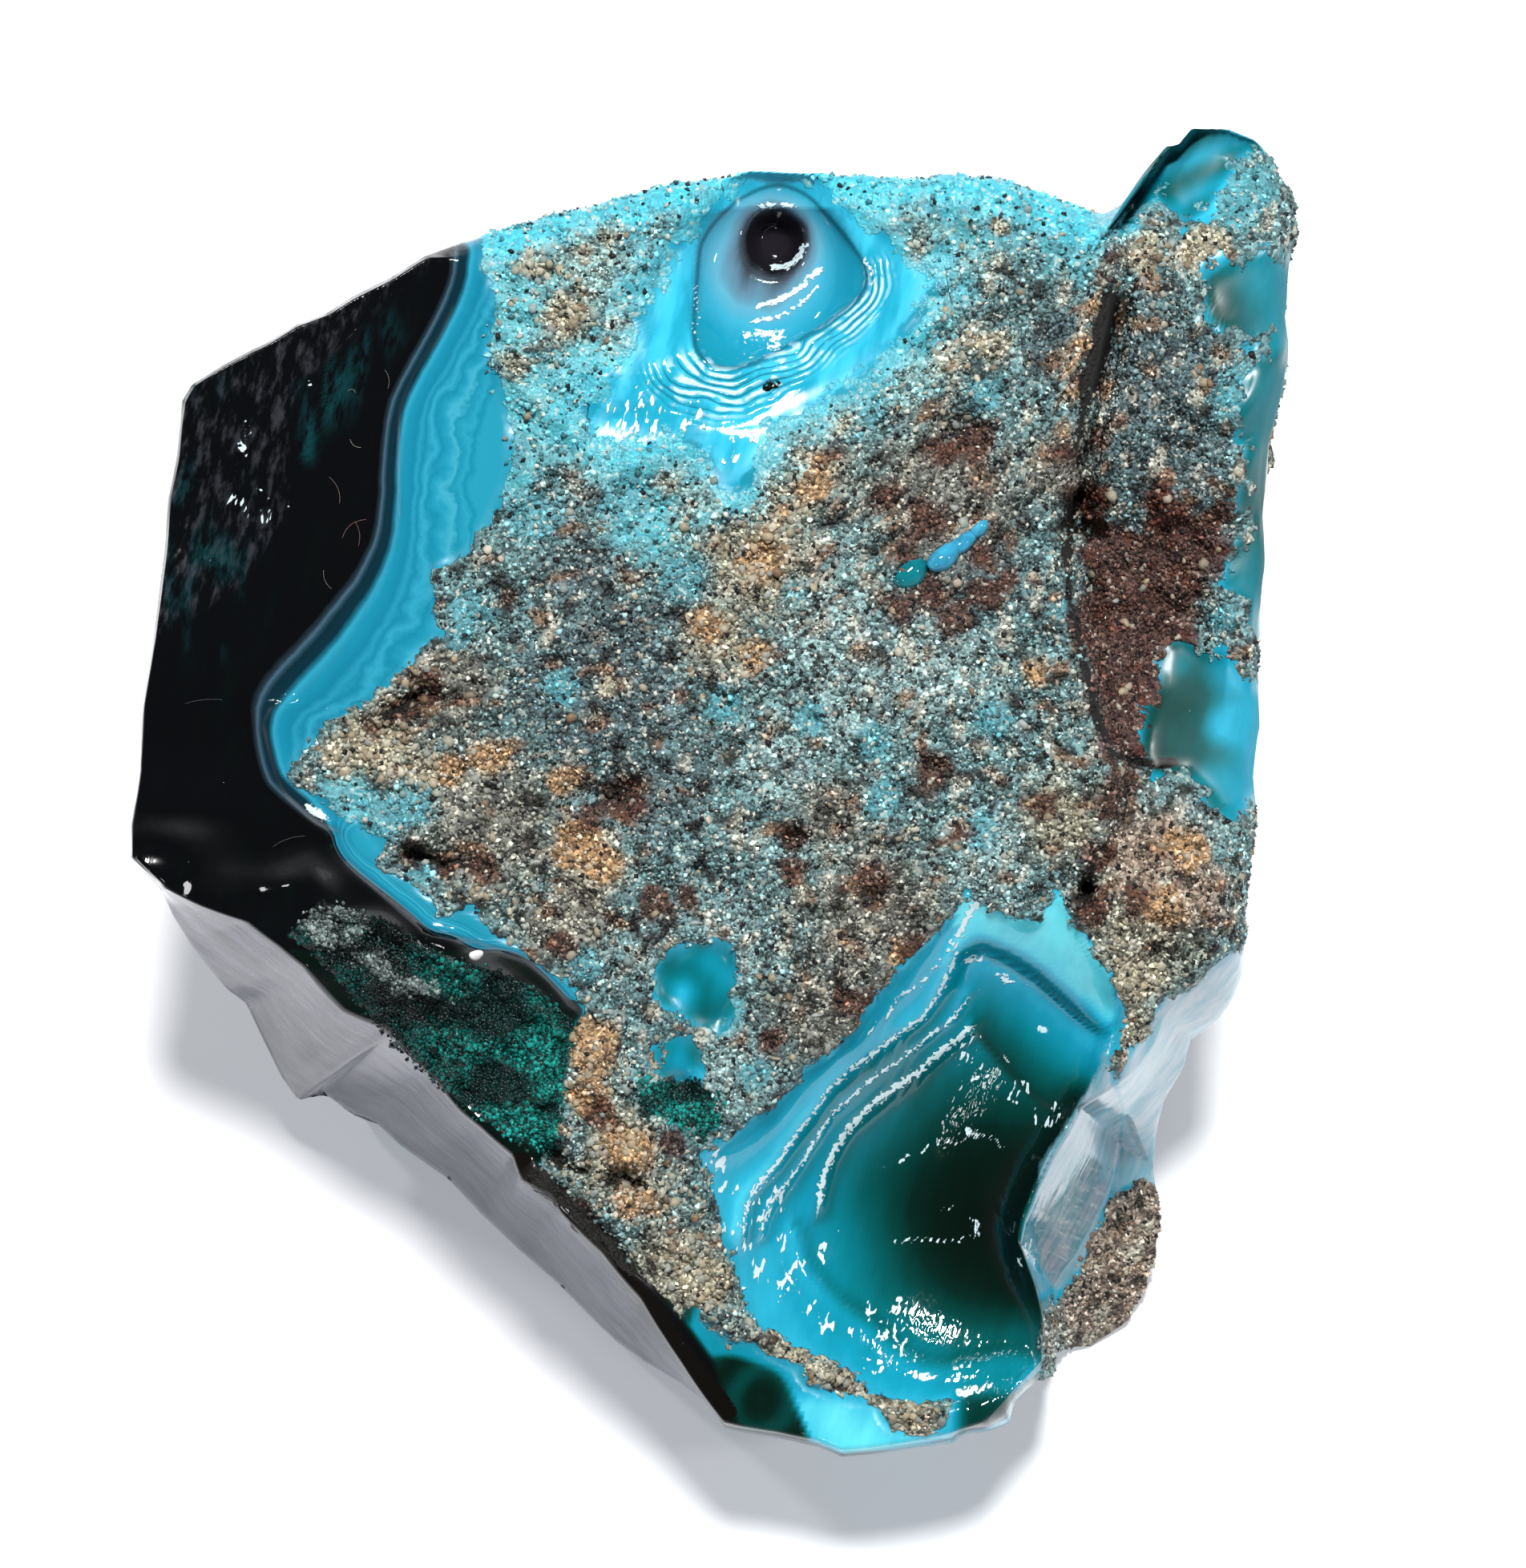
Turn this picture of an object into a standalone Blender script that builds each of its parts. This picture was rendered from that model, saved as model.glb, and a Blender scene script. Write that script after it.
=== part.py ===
"""A fist-sized lump of rough turquoise: one solid, resting on its broken underside.

The lump is drawn in its face frame, in millimetres: a runs to the right and b upwards across the
sand-crusted face, and c stands out of that face. Outlines are drawn as an eye EYE_DISTANCE above
the face sees them. The face is then leant back by LEAN and the lump is set down on z = 0.
"""

import math

import bmesh
import bpy
import numpy as np

# Driving dimensions, in millimetres and degrees.
LEAN = 20.0            # the crusted face is this far from level
FACE_HEIGHT = 43.0     # middle of the face above the table
EYE_DISTANCE = 350.0   # height over the face that the outlines are drawn from
EYE_FOOT = (3.7, 0.4)  # the point of the face right under that height
MIDDLE = (-0.04, 3.3)   # x and y of the middle of the lump, moved to the origin
RINGS = 26             # rings of quads across the face, from its middle to its rim
EDGE_RING = 15         # the ring that runs along the crust's edges and the crack
CREST_RING = 21        # the ring where the face turns over towards its rim
WALL_RINGS = 9         # rings of quads from the rim to the underside
MM = 0.001

# The rim of the face, clockwise from the upper left: a, b, and c below the crust.
RIM = [
    (-18.9, 40.9, -3.5), (-15, 42, -3), (-11.4, 43, -3), (-7.2, 44.1, -3),
    (-2.4, 45.4, -3), (1.2, 45.8, -3), (2.7, 46.3, -3), (6.6, 46.1, -3), (10.2, 45.8, -3),
    (12.6, 45.6, -3), (15.6, 45.8, -3), (19.2, 45.9, -3), (22.2, 45.4, -3.5),
    (25.8, 44, -4.5), (29.1, 42.8, -7), (30.6, 43.8, -9), (32.4, 46.2, -10),
    (33.9, 48.1, -10), (34.8, 48.3, -9.5), (35.8, 49.5, -9), (38.4, 49.4, -9),
    (40.5, 48.6, -9), (42, 46.8, -9), (42.4, 45.6, -9), (43.2, 44.4, -9), (43.3, 41.7, -9),
    (42.9, 39.3, -9), (42.6, 35.7, -9), (42.9, 33.3, -9), (42.4, 30.9, -9),
    (41.7, 28.5, -9), (41.3, 26.7, -9), (41, 23.7, -9), (40.8, 20.7, -9.5),
    (41, 17.1, -10), (40.5, 13.5, -10), (40.3, 9.9, -10), (40.5, 5.1, -9.5),
    (40.1, 1.5, -9), (40.5, -1.2, -9), (40.1, -3.9, -9), (39.5, -6.9, -9.5),
    (39.6, -10.5, -10.5), (39.6, -13.5, -12), (38.7, -15.9, -13.5), (37.5, -17.4, -15),
    (35.7, -18.6, -16), (35.1, -20.7, -18), (33.7, -23.1, -20), (33, -26.1, -24),
    (32.9, -28.5, -27), (33.4, -32.1, -28), (33, -35.1, -28.5), (32.1, -37.5, -29),
    (30.9, -39.9, -29), (28.2, -41.7, -29), (26.1, -41.8, -28), (25.2, -42.3, -22),
    (25.3, -43.8, -15), (24, -44.4, -12), (22.5, -45.9, -12.5), (22.1, -47.4, -13),
    (20.7, -48, -13.5), (18.6, -48.3, -14), (18, -48.9, -14), (13.2, -49.6, -14),
    (9.6, -50, -14), (7.8, -49.2, -13.5), (4.8, -48.6, -13), (1.8, -48.1, -12.5),
    (0.9, -47.9, -12), (-0.6, -45.9, -16), (-2.4, -44.4, -20), (-5.4, -42.7, -24),
    (-8.4, -40.3, -27), (-11.4, -37.2, -30), (-14.4, -34.6, -31.5), (-17.4, -31.8, -33),
    (-19.8, -29.2, -33.5), (-23.4, -26.7, -34), (-25.2, -24.9, -33), (-27, -24.2, -32),
    (-29.4, -22.6, -28), (-31.1, -23.2, -27), (-32.3, -21.6, -25), (-33.6, -18.9, -23.5),
    (-34.9, -16, -22), (-36.3, -15, -20), (-39, -11.7, -16), (-40.5, -9.3, -12),
    (-41.4, -7.2, -9), (-43.5, -5.1, -6), (-43.6, -2.7, -6), (-42.9, 1.5, -6),
    (-42.7, 6.3, -6), (-41.9, 11.1, -6), (-41.1, 17.1, -6), (-40.7, 21.9, -6),
    (-40.1, 24.9, -6), (-39.7, 29.1, -6), (-39, 30.3, -5.5), (-36.6, 31.8, -5),
    (-33.6, 33.3, -5), (-31.2, 34.8, -5), (-28.8, 35.7, -4.5), (-27, 36.9, -4.5),
    (-24, 38.4, -4), (-21.6, 39.9, -3.5),
]
# Where the crust ends against the dark broken glass on the left, from the top down.
BREAK_EDGE = [
    (-18.9, 40.9), (-18.4, 39.4), (-19, 36.4), (-20.3, 33.7), (-22.2, 31), (-23.2, 28.4),
    (-23.3, 24.4), (-23.2, 20.3), (-23.8, 17.6), (-24.9, 14.9), (-26.2, 12.3),
    (-28.1, 9.6), (-31.3, 6.4), (-32.7, 6.3), (-33.4, 4.9), (-33, 3.1), (-32.4, 0.9),
    (-31.5, -0.3), (-29.4, -2.1), (-27.6, -3), (-27, -5.1), (-25.2, -6.8), (-23.3, -8.4),
    (-21.2, -10.3), (-19.6, -10.6), (-17.4, -11.2), (-15.6, -11.7), (-13.8, -12.3),
    (-12, -13.8), (-10.4, -15.6), (-9.6, -16.6),
]
# The rest of that edge, where the broken glass turns green and sugary, down to the cliff.
SUGAR_EDGE = [
    (-9.6, -16.6), (-10.5, -17.9), (-11.2, -20.7), (-11.4, -24.3), (-12.2, -27.3),
    (-14.2, -29.2),
]
# Top edge of the steep side at the lower left, from the left tip to the bottom.
CLIFF_EDGE = [
    (-43.5, -5.4), (-42, -6.9), (-38.4, -8.7), (-34.8, -9.9), (-32.4, -11.7),
    (-30.6, -13.2), (-29.4, -14.7), (-27.6, -16.5), (-24.6, -17.7), (-23.4, -18.9),
    (-21, -21.3), (-18.9, -24), (-17.4, -25.2), (-15, -27.3), (-14.4, -29.1), (-12, -30.3),
    (-11.4, -31.5), (-8.4, -34.5), (-5.4, -38.1), (-3.6, -41.1), (-2.4, -42.9),
    (-0.6, -45.6), (0.6, -48),
]
# Where the face turns over towards its rim, clockwise from the upper left.
CREST = [
    (-18.7, 38.4), (-10, 40.6), (-2.4, 42.9), (3, 43.7), (6.6, 43.6), (12.6, 43.2),
    (19.2, 43.4), (25, 41.6), (28.7, 40.9), (33.6, 46.9), (35.2, 47.7), (36.2, 47.6),
    (38.2, 47.4), (40.2, 46), (41.1, 44), (41.2, 41.5), (40.8, 38), (40.6, 34), (40.2, 31),
    (39.2, 27), (38.8, 23), (38.8, 18), (38.4, 12), (38.3, 6), (38.2, 1), (38.1, -4),
    (37.6, -8), (37.8, -11.6), (34.8, -15.3), (33.6, -17.1), (33, -18.9), (31.2, -21.3),
    (27.3, -23.7), (25.2, -27.3), (24, -29.7), (23.1, -32.1),
    (22.8, -33.9), (24, -36.9), (24.7, -39.9), (24.4, -42.6), (22.2, -44.6), (20.3, -46.4),
    (17.6, -47.2), (13.2, -47.9), (9.6, -48.2), (7.5, -47.4), (4.6, -46.8), (2.2, -46.4),
    (0.8, -46.8),
] + CLIFF_EDGE[-2:0:-1] + [
    (-43.2, -5.2), (-42.3, -2.9), (-41.4, 0), (-41.1, 5), (-40.2, 11), (-39.5, 17),
    (-39, 22), (-38.4, 25), (-37.8, 28.2), (-36.8, 29.3), (-33, 31.3), (-30.4, 32.8),
    (-28, 33.8), (-26.2, 35), (-23.4, 36.3), (-21, 37.6),
]
# The scooped hollow at the lower right: its two sandy sides, its thin glass side, its lower lip.
HOLLOW_LEFT = [
    (0.9, -36.9), (0.6, -34.5), (-0.6, -30.9), (-1.2, -27.6), (0.6, -26.7), (4.2, -24),
    (6.6, -21.3), (10.2, -18.3), (12.6, -14.7), (16.2, -11.1), (18.9, -7.8), (24, -9.9),
    (26.1, -7.5), (27.9, -11.1), (29.7, -13.8), (30.3, -16.2),
]
HOLLOW_RIGHT = [
    (30.3, -16.2), (29.7, -18.3), (28.8, -21.3), (27.3, -23.7), (25.2, -27.3),
    (24, -29.7), (23.1, -32.1), (22.8, -33.9), (24, -36.9), (24.9, -39.9), (24.6, -42.9),
]
HOLLOW_LIP = [
    (24.6, -42.9), (21.6, -45.3), (18.6, -46.2), (15.6, -46.5), (12.6, -45.7),
    (9.6, -44.2), (6, -42.4), (2.4, -39.6), (0.9, -36.9),
]
# The crack that parts the main face from the lower strip on the right, from the top down.
CRACK = [
    (29.3, 42.8), (30, 41.1), (29.7, 38.7), (29.4, 35.7), (28.9, 33.3), (28.2, 30.3),
    (27.6, 27.3), (26.7, 24.3), (26.1, 20.7), (25.8, 19.5), (26.4, 17.7), (26.7, 14.7),
    (27.3, 11.7), (28.2, 8.1), (28.8, 5.1), (29.7, 2.7), (30.1, 0.3), (29.7, -1.5),
    (28.5, -4.5), (27.6, -6.9), (27.3, -8.7),
]
# One closed line of edges across the face: the crust's end against the broken glass on the left,
# the middle of the hollow, the crack on the right, and back below the top edge.
EDGES = BREAK_EDGE[2:] + [
    (-8, -21), (-5, -27.5), (-1, -33), (5, -34.5), (12, -33), (17, -29), (19.5, -25),
    (21, -21.5), (22.5, -17.5), (24.5, -13.5), (26.5, -10.5),
] + CRACK[:1:-1] + [
    (28, 38.5), (24, 38), (18, 36.5), (10, 34), (2, 34), (-6, 34), (-13, 34.5), (-17, 35.5),
]
# How the face falls from its crest to its rim, by direction from the middle in degrees: the share
# of the way out at which it bends, the share of the fall by then, and how rounded it is.
FALLS = [
    (-180, 0.5, 0.5, 0.5), (-170, 0.5, 0.5, 0.0), (-92, 0.5, 0.5, 0.0), (-88, 0.6, 0.35, 0.6),
    (-63, 0.6, 0.35, 0.6), (-59.5, 0.25, 0.55, 0.0), (-57, 0.45, 0.85, 0.0), (-41, 0.52, 0.88, 0.0),
    (-38, 0.45, 0.62, 0.0), (-30, 0.5, 0.55, 0.0), (-20, 0.5, 0.5, 0.3), (-12, 0.6, 0.35, 1.0),
    (176, 0.6, 0.35, 1.0), (180, 0.5, 0.5, 0.5),
]
# Pits in the crust, and two low lumps: a, b, radius, depth.
PITS = [
    (-7.2, 0, 2.4, 1.6), (18.6, 26.1, 3.0, 1.5), (-21, -5.4, 2.4, 1.2), (-9, -20.7, 2.6, -1.0),
    (-6.6, -28, 2.8, -0.9),
]


def smoothstep(low, high, x):
    """0 below low, 1 above high, and 3t^2 - 2t^3 between them."""
    t = np.clip((x - low) / (high - low), 0.0, 1.0)
    return t * t * (3.0 - 2.0 * t)


def distance_to(line, a, b):
    """Distance from each point to a line of straight pieces, and which side of it the point is on.

    The side is +1 to the left of the direction in which the line is drawn, and -1 to its right.
    """
    best = np.full(a.shape, 1e9)
    side = np.ones(a.shape)
    for (ax, ay), (bx, by) in zip(line[:-1], line[1:]):
        dx, dy = bx - ax, by - ay
        t = np.clip(((a - ax) * dx + (b - ay) * dy) / (dx * dx + dy * dy), 0.0, 1.0)
        away = np.hypot(a - ax - t * dx, b - ay - t * dy)
        nearer = away < best - 1e-9
        best = np.where(nearer, away, best)
        side = np.where(nearer, np.sign(dx * (b - ay) - dy * (a - ax)), side)
    return best, side


def inside(loop, a, b):
    """True for points inside a closed outline, by counting the crossings of a level ray."""
    found = np.zeros(a.shape, bool)
    for (ax, ay), (bx, by) in zip(loop, loop[1:] + loop[:1]):
        if ay != by:
            crosses = ((ay > b) != (by > b)) & (a < (bx - ax) * (b - ay) / (by - ay) + ax)
            found ^= crosses
    return found


def ripple(points, wavelength, seed):
    """Smooth, seeded roughness between about -1 and 1: a sum of 24 plane waves in all directions."""
    rng = np.random.default_rng(seed)
    waves = rng.normal(size=(24, 3))
    waves /= np.linalg.norm(waves, axis=1)[:, None]
    waves *= rng.uniform(0.6, 1.4, 24)[:, None] * 2 * math.pi / wavelength
    return np.sin(points @ waves.T + rng.uniform(0, 2 * math.pi, 24)).sum(axis=1) / 5.0


def rim_at(share):
    """The rim's a, b and c at a share of its drawn length, as an (n, 3) array."""
    loop = np.array(RIM + RIM[:1])
    steps = np.hypot(*np.diff(loop[:, :2], axis=0).T)
    along = np.concatenate([[0], np.cumsum(steps)]) / steps.sum()
    return np.stack([np.interp(share % 1.0, along, loop[:, k]) for k in range(3)], axis=1)


def reach_of(line, angle):
    """How far a closed line round the middle lies from it, in each direction, in radians."""
    loop = np.array(line)
    order = np.argsort(np.arctan2(loop[:, 1], loop[:, 0]))
    return np.interp(angle, np.arctan2(loop[:, 1], loop[:, 0])[order],
                     np.hypot(loop[:, 0], loop[:, 1])[order], period=2 * math.pi)


def face_points(share, ring):
    """Drawn points of the face at a share of the rim's length, ring = 0 in the middle and 1 on the rim.

    Rings are spaced evenly from the middle out to EDGES, on to CREST, and on to the rim, so that
    one ring of vertices lies along each of those lines.
    """
    rim = rim_at(share)
    angle = np.arctan2(rim[:, 1], rim[:, 0])
    far = np.hypot(rim[:, 0], rim[:, 1])
    crest = np.minimum(reach_of(CREST, angle), 0.995 * far)
    edge = np.minimum(reach_of(EDGES, angle), 0.95 * crest)
    first, second = EDGE_RING / RINGS, CREST_RING / RINGS
    out = np.clip((ring - second) / (1 - second), 0, 1)
    bend, fallen, rounded = [np.interp(np.degrees(angle), [f[0] for f in FALLS], [f[k] for f in FALLS])
                             for k in (1, 2, 3)]
    straight = np.where(out < 0.5, 2 * out * bend, bend + (2 * out - 1) * (1 - bend))
    way = np.where(rounded > 0, straight * (1 - rounded) + out * rounded, straight)
    fall = np.where(out < 0.5, 2 * out * fallen, fallen + (2 * out - 1) * (1 - fallen))
    fall = fall * (1 - rounded) + (1 - np.sqrt(1 - way ** 2)) * rounded
    beyond = edge + (crest - edge) * (ring - first) / (second - first)
    reach = np.where(ring < first, edge * ring / first, beyond)
    reach = np.where(ring > second, crest + (far - crest) * way, reach)
    a, b = reach * np.cos(angle), reach * np.sin(angle)
    inner = np.minimum(reach, crest)
    c = face_height(inner * np.cos(angle), inner * np.sin(angle))
    return a, b, c + (rim[:, 2] - c) * np.where(ring > second, fall, 0.0)


def face_height(a, b):
    """c of the face inside its crest, at each drawn point."""
    flat = np.stack([a, b, np.zeros_like(a)], axis=1)
    c = -0.0005 * (a * a + b * b) + 0.35 * ripple(flat, 22.0, 3) + 0.2 * ripple(flat, 8.0, 4)

    # The dark broken glass on the left falls away from the crust in two shallow facets.
    away, side = distance_to(BREAK_EDGE + SUGAR_EDGE[1:], a, b)
    left = np.where(side < 0, away, 0.0)
    left = np.where((a < -9.0) & (b < 41), left, 0.0)
    slope = 0.10 + 0.06 * smoothstep(2, 10, left)
    c -= smoothstep(0.0, 0.7, left) * 0.6 + slope * left
    far = np.clip(-(a + 0.45 * b + 22.5), 0, None)
    c -= 0.10 * far * smoothstep(-2, 4, b)
    sugary = smoothstep(0.5, 3.5, left) * smoothstep(-7.0, -12.0, b + 0.15 * a)
    c -= sugary * (1.0 + 0.5 * ripple(flat, 7.0, 7))

    # The lower strip on the right, with the crack along its edge and a brown hollow in it.
    away, side = distance_to(CRACK, a, b)
    right = np.where(side > 0, away, -away)
    right = np.where(b < -8.7, a - 27.3, right)
    level = np.interp(b, [-14, -9, -5, 0, 4, 12, 20, 24, 34, 40, 50],
                      [0.0, 0.6, 2.0, 4.5, 6.0, 7.0, 7.0, 5.5, 5.0, 4.5, 9.0])
    c -= smoothstep(0.0, 1.2, right) * level
    crack = smoothstep(0.0, 0.5, right) * smoothstep(2.4, 1.4, right)
    c -= crack * 4.0 * smoothstep(17, 21, b) * smoothstep(38, 34, b)
    brown = np.exp(-((a - 32.0) / 5.5) ** 2 - ((b - 12.5) / 7.0) ** 2)
    c -= 4.0 * brown * smoothstep(0.0, 1.5, right)
    c += 0.5 * ripple(flat, 7.0, 9) * smoothstep(0, 2, right)
    below = np.clip(-b - 9.0, 0, None) * smoothstep(28, 34, a)
    c -= 0.55 * below

    # The sandy shelf round the hollow and at the foot of the face tilts down.
    c -= 0.15 * np.clip(-7.8 - b, 0, None) * smoothstep(-8, 4, a)
    c -= 0.16 * np.clip(-22 - b, 0, None) * smoothstep(4, -6, a)

    # The hollow: gentle on the sandy side, steep at the thin glass side, with three terraces.
    loop = HOLLOW_LEFT + HOLLOW_RIGHT[1:] + HOLLOW_LIP[1:-1]
    within = inside(loop, a, b)
    d_left = distance_to(HOLLOW_LEFT, a, b)[0]
    d_right = distance_to(HOLLOW_RIGHT, a, b)[0]
    d_lip = distance_to(HOLLOW_LIP, a, b)[0]
    depth = 11.0 * (smoothstep(-3.0, 17.0, d_left) - smoothstep(-3.0, 17.0, 0.0))
    depth *= (1 - np.exp(-d_right / 2.6)) * smoothstep(0.0, 11.0, d_lip)
    terrace = np.zeros_like(a)
    for step in (2.0, 4.2, 6.4):
        terrace += smoothstep(step - 0.5, step + 0.5, d_left) - smoothstep(step, step + 2.2, d_left)
    terrace *= 0.45 * smoothstep(21, 15, a) * smoothstep(-34, -28, b)
    c = np.where(within, c - np.clip(depth, 0, None) + terrace - 0.5 * smoothstep(0, 0.8, d_left), c)
    crest = np.exp(-(d_right / 2.0) ** 2) * smoothstep(-15, -19, b)
    c -= crest * np.interp(b, [-43, -33, -24, -17], [1.0, 1.6, 1.2, 0.3])

    # The eye at the top: a smooth dish with a deep dark pit.
    reach = np.hypot((a - 4.3) / 7.0, (b - 38.6) / 7.6)
    c -= 2.6 * smoothstep(1.05, 0.55, reach)
    c -= 1.0 * smoothstep(1.75, 1.0, reach)
    c -= 3.2 * smoothstep(1.0, 0.25, np.hypot(a - 4.8, b - 41.0) / 3.3)

    # Pits and small lumps in the crust.
    for pit_a, pit_b, radius, pit_depth in PITS:
        c -= pit_depth * smoothstep(1.0, 0.35, np.hypot(a - pit_a, b - pit_b) / radius)

    # The broken left side of the small horn at the upper right.
    away = distance_to([(29.1, 42.8), (33.9, 48.1)], a, b)[0]
    c -= 2.0 * smoothstep(2.2, 0.6, away) * smoothstep(44, 46, a + 0.4 * b)
    return c


def to_lump(a, b, c):
    """Drawn face coordinates to x, y, z in millimetres on the table."""
    true_a = EYE_FOOT[0] + (a - EYE_FOOT[0]) * (1 - c / EYE_DISTANCE)
    true_b = EYE_FOOT[1] + (b - EYE_FOOT[1]) * (1 - c / EYE_DISTANCE)
    sine, cosine = math.sin(math.radians(LEAN)), math.cos(math.radians(LEAN))
    x = true_a - MIDDLE[0]
    y = true_b * cosine - c * sine - MIDDLE[1]
    z = true_b * sine + c * cosine + FACE_HEIGHT
    return np.stack([x, y, z], axis=1)


def wall(share, t):
    """Points of the side under the rim at a share of its length, t = 0 at the rim and 1 at the foot.

    The foot is the rim's own plan drawn in towards the middle, less where the rim is low already.
    The side bulges out between them, and flat and dished breaks are then cut into it.
    """
    top = to_lump(*rim_at(share).T)
    plan = sum(to_lump(*rim_at(share + k / 100).T) for k in range(-4, 5)) / 9
    angle = np.arctan2(plan[:, 1], plan[:, 0])
    draw = 0.82 + 0.04 * np.cos(angle - 0.4) + 0.03 * np.cos(3 * angle + 1.0)
    low = smoothstep(20.0, 4.0, top[:, 2])
    draw = draw + (0.965 - draw) * low
    plan = plan + (top - plan) * low[:, None]
    foot = plan * draw[:, None]
    foot[:, 1] += 1.5 * (1 - low)
    foot[:, 2] = -0.6
    inwards = 1 - (1 - t) ** (1.0 + 0.8 * (1 - low))
    points = top + (foot - top) * np.stack([inwards, inwards, t], axis=1)
    bulge = 0.10 * np.sin(math.pi * t ** 0.8) * (1 - low) * smoothstep(-1.0, 0.4, np.sin(angle))
    points[:, :2] *= (1 + bulge)[:, None]
    rough = smoothstep(0.0, 0.25, t) * smoothstep(5.0, 18.0, top[:, 2])
    outward = np.stack([np.cos(angle), np.sin(angle), np.zeros_like(angle)], axis=1)
    craggy = 1.2 * ripple(points, 26.0, 21) + 0.4 * ripple(points, 9.0, 22)
    craggy -= 1.6 * np.abs(ripple(points, 19.0, 23)) + 0.2
    points += outward * (rough * craggy)[:, None]
    return points


# Flat breaks in the sides: the outward direction, and how far out the lump is left standing.
FLAT_BREAKS = [
    ((0.90, -0.10, -0.36), 29.5), ((-0.78, 0.46, -0.34), 33.0), ((0.45, 0.80, -0.34), 34.5),
    ((-0.90, -0.15, -0.30), 30.0), ((-0.25, 0.92, -0.22), 35.0), ((0.62, -0.70, -0.30), 31.0),
    ((0.70, 0.62, -0.35), 37.0),
]
# Dished breaks: middle on the side, radius, depth.
DISHED_BREAKS = [
    ((-38.0, 8.0, 20.0), 13.0, 2.6), ((-26.0, 30.0, 30.0), 12.0, 2.4), ((10.0, 40.0, 22.0), 14.0, 3.0),
    ((38.0, 6.0, 16.0), 12.0, 2.4), ((33.0, 28.0, 30.0), 9.0, 2.0), ((-10.0, 42.0, 14.0), 10.0, 2.2),
    ((14.0, -36.0, 6.0), 8.0, 1.4),
]


def break_sides(points, share_down):
    """Cut the flat and dished breaks into the sides, leaving the rim itself where it was drawn."""
    held = smoothstep(0.02, 0.22, share_down)
    points = points.copy()
    for direction, stands in FLAT_BREAKS:
        normal = np.array(direction) / np.linalg.norm(direction)
        over = np.clip(points @ normal - stands, 0, None) * held
        points -= over[:, None] * normal
    for middle, radius, depth in DISHED_BREAKS:
        middle = np.array(middle)
        normal = middle * (1, 1, 0) / np.linalg.norm(middle[:2])
        near = np.clip(1 - ((points - middle) ** 2).sum(axis=1) / radius ** 2, 0, None)
        points -= (depth * near * held)[:, None] * normal
    return points


def plain_material(name, colour, roughness):
    material = bpy.data.materials.new(name)
    material.use_nodes = True
    shader = material.node_tree.nodes["Principled BSDF"]
    shader.inputs["Base Color"].default_value = (*colour, 1.0)
    shader.inputs["Roughness"].default_value = roughness
    shader.inputs["Metallic"].default_value = 0.0
    return material


def turquoise_stone():
    """The lump: a square grid drawn out to the rim, its edge extruded down in rings, and its foot closed."""
    bm = bmesh.new()
    bmesh.ops.create_grid(bm, x_segments=2 * RINGS, y_segments=2 * RINGS, size=1.0)
    around = bm.verts.layers.float.new("around")

    # Each square ring of the grid becomes a ring of the outline's own shape.
    grid = np.array([v.co[:] for v in bm.verts])
    x, y = grid[:, 0], grid[:, 1]
    reach = np.maximum(np.abs(x), np.abs(y))
    safe = np.maximum(reach, 1e-9)
    quarter = np.select([y >= safe - 1e-6, x >= safe - 1e-6, y <= 1e-6 - safe],
                        [(x / safe + 1) / 2, 1 + (1 - y / safe) / 2, 2 + (1 - x / safe) / 2],
                        3 + (y / safe + 1) / 2)
    share = (quarter / 4) % 1.0
    top = to_lump(*face_points(share, reach))
    for vert, place, where in zip(bm.verts, top, share):
        vert.co = place
        vert[around] = where

    # The sides go down from the rim in rings, each one drawn from the rim's own length.
    edges = [e for e in bm.edges if e.is_boundary]
    for ring in range(1, WALL_RINGS + 1):
        made = bmesh.ops.extrude_edge_only(bm, edges=edges)["geom"]
        verts = [g for g in made if isinstance(g, bmesh.types.BMVert)]
        edges = [g for g in made if isinstance(g, bmesh.types.BMEdge) and g.is_boundary]
        shares = np.array([v[around] for v in verts])
        t = np.full(len(verts), (ring / WALL_RINGS) ** 1.1)
        for vert, place in zip(verts, break_sides(wall(shares, t), t)):
            vert.co = place
    bmesh.ops.holes_fill(bm, edges=[e for e in bm.edges if e.is_boundary], sides=0)

    # Whatever reaches below the table is ground off level: the flat that the lump rests on.
    for vert in bm.verts:
        vert.co.z = max(vert.co.z, 0.0)
        vert.co *= MM
    bmesh.ops.triangulate(bm, faces=bm.faces)
    bmesh.ops.recalc_face_normals(bm, faces=bm.faces)
    mesh = bpy.data.meshes.new("turquoise_stone")
    bm.to_mesh(mesh)
    bm.free()
    mesh.shade_smooth()
    mesh.set_sharp_from_angle(angle=math.radians(40))
    stone = bpy.data.objects.new("turquoise_stone", mesh)
    mesh.materials.append(plain_material("turquoise_stone", (0.05, 0.42, 0.52), 0.35))
    bpy.context.scene.collection.objects.link(stone)
    return stone


for old in list(bpy.data.objects):
    bpy.data.objects.remove(old)
turquoise_stone()
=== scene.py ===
"""Rough turquoise: a fist-sized lump of fused turquoise and black glass under a crust of sand.

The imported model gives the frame. The lump's surface, drawn again here at full detail, stands for
the solid. The grains, crystals, drops and hairs on it are meshes of their own.
"""

import math

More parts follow.
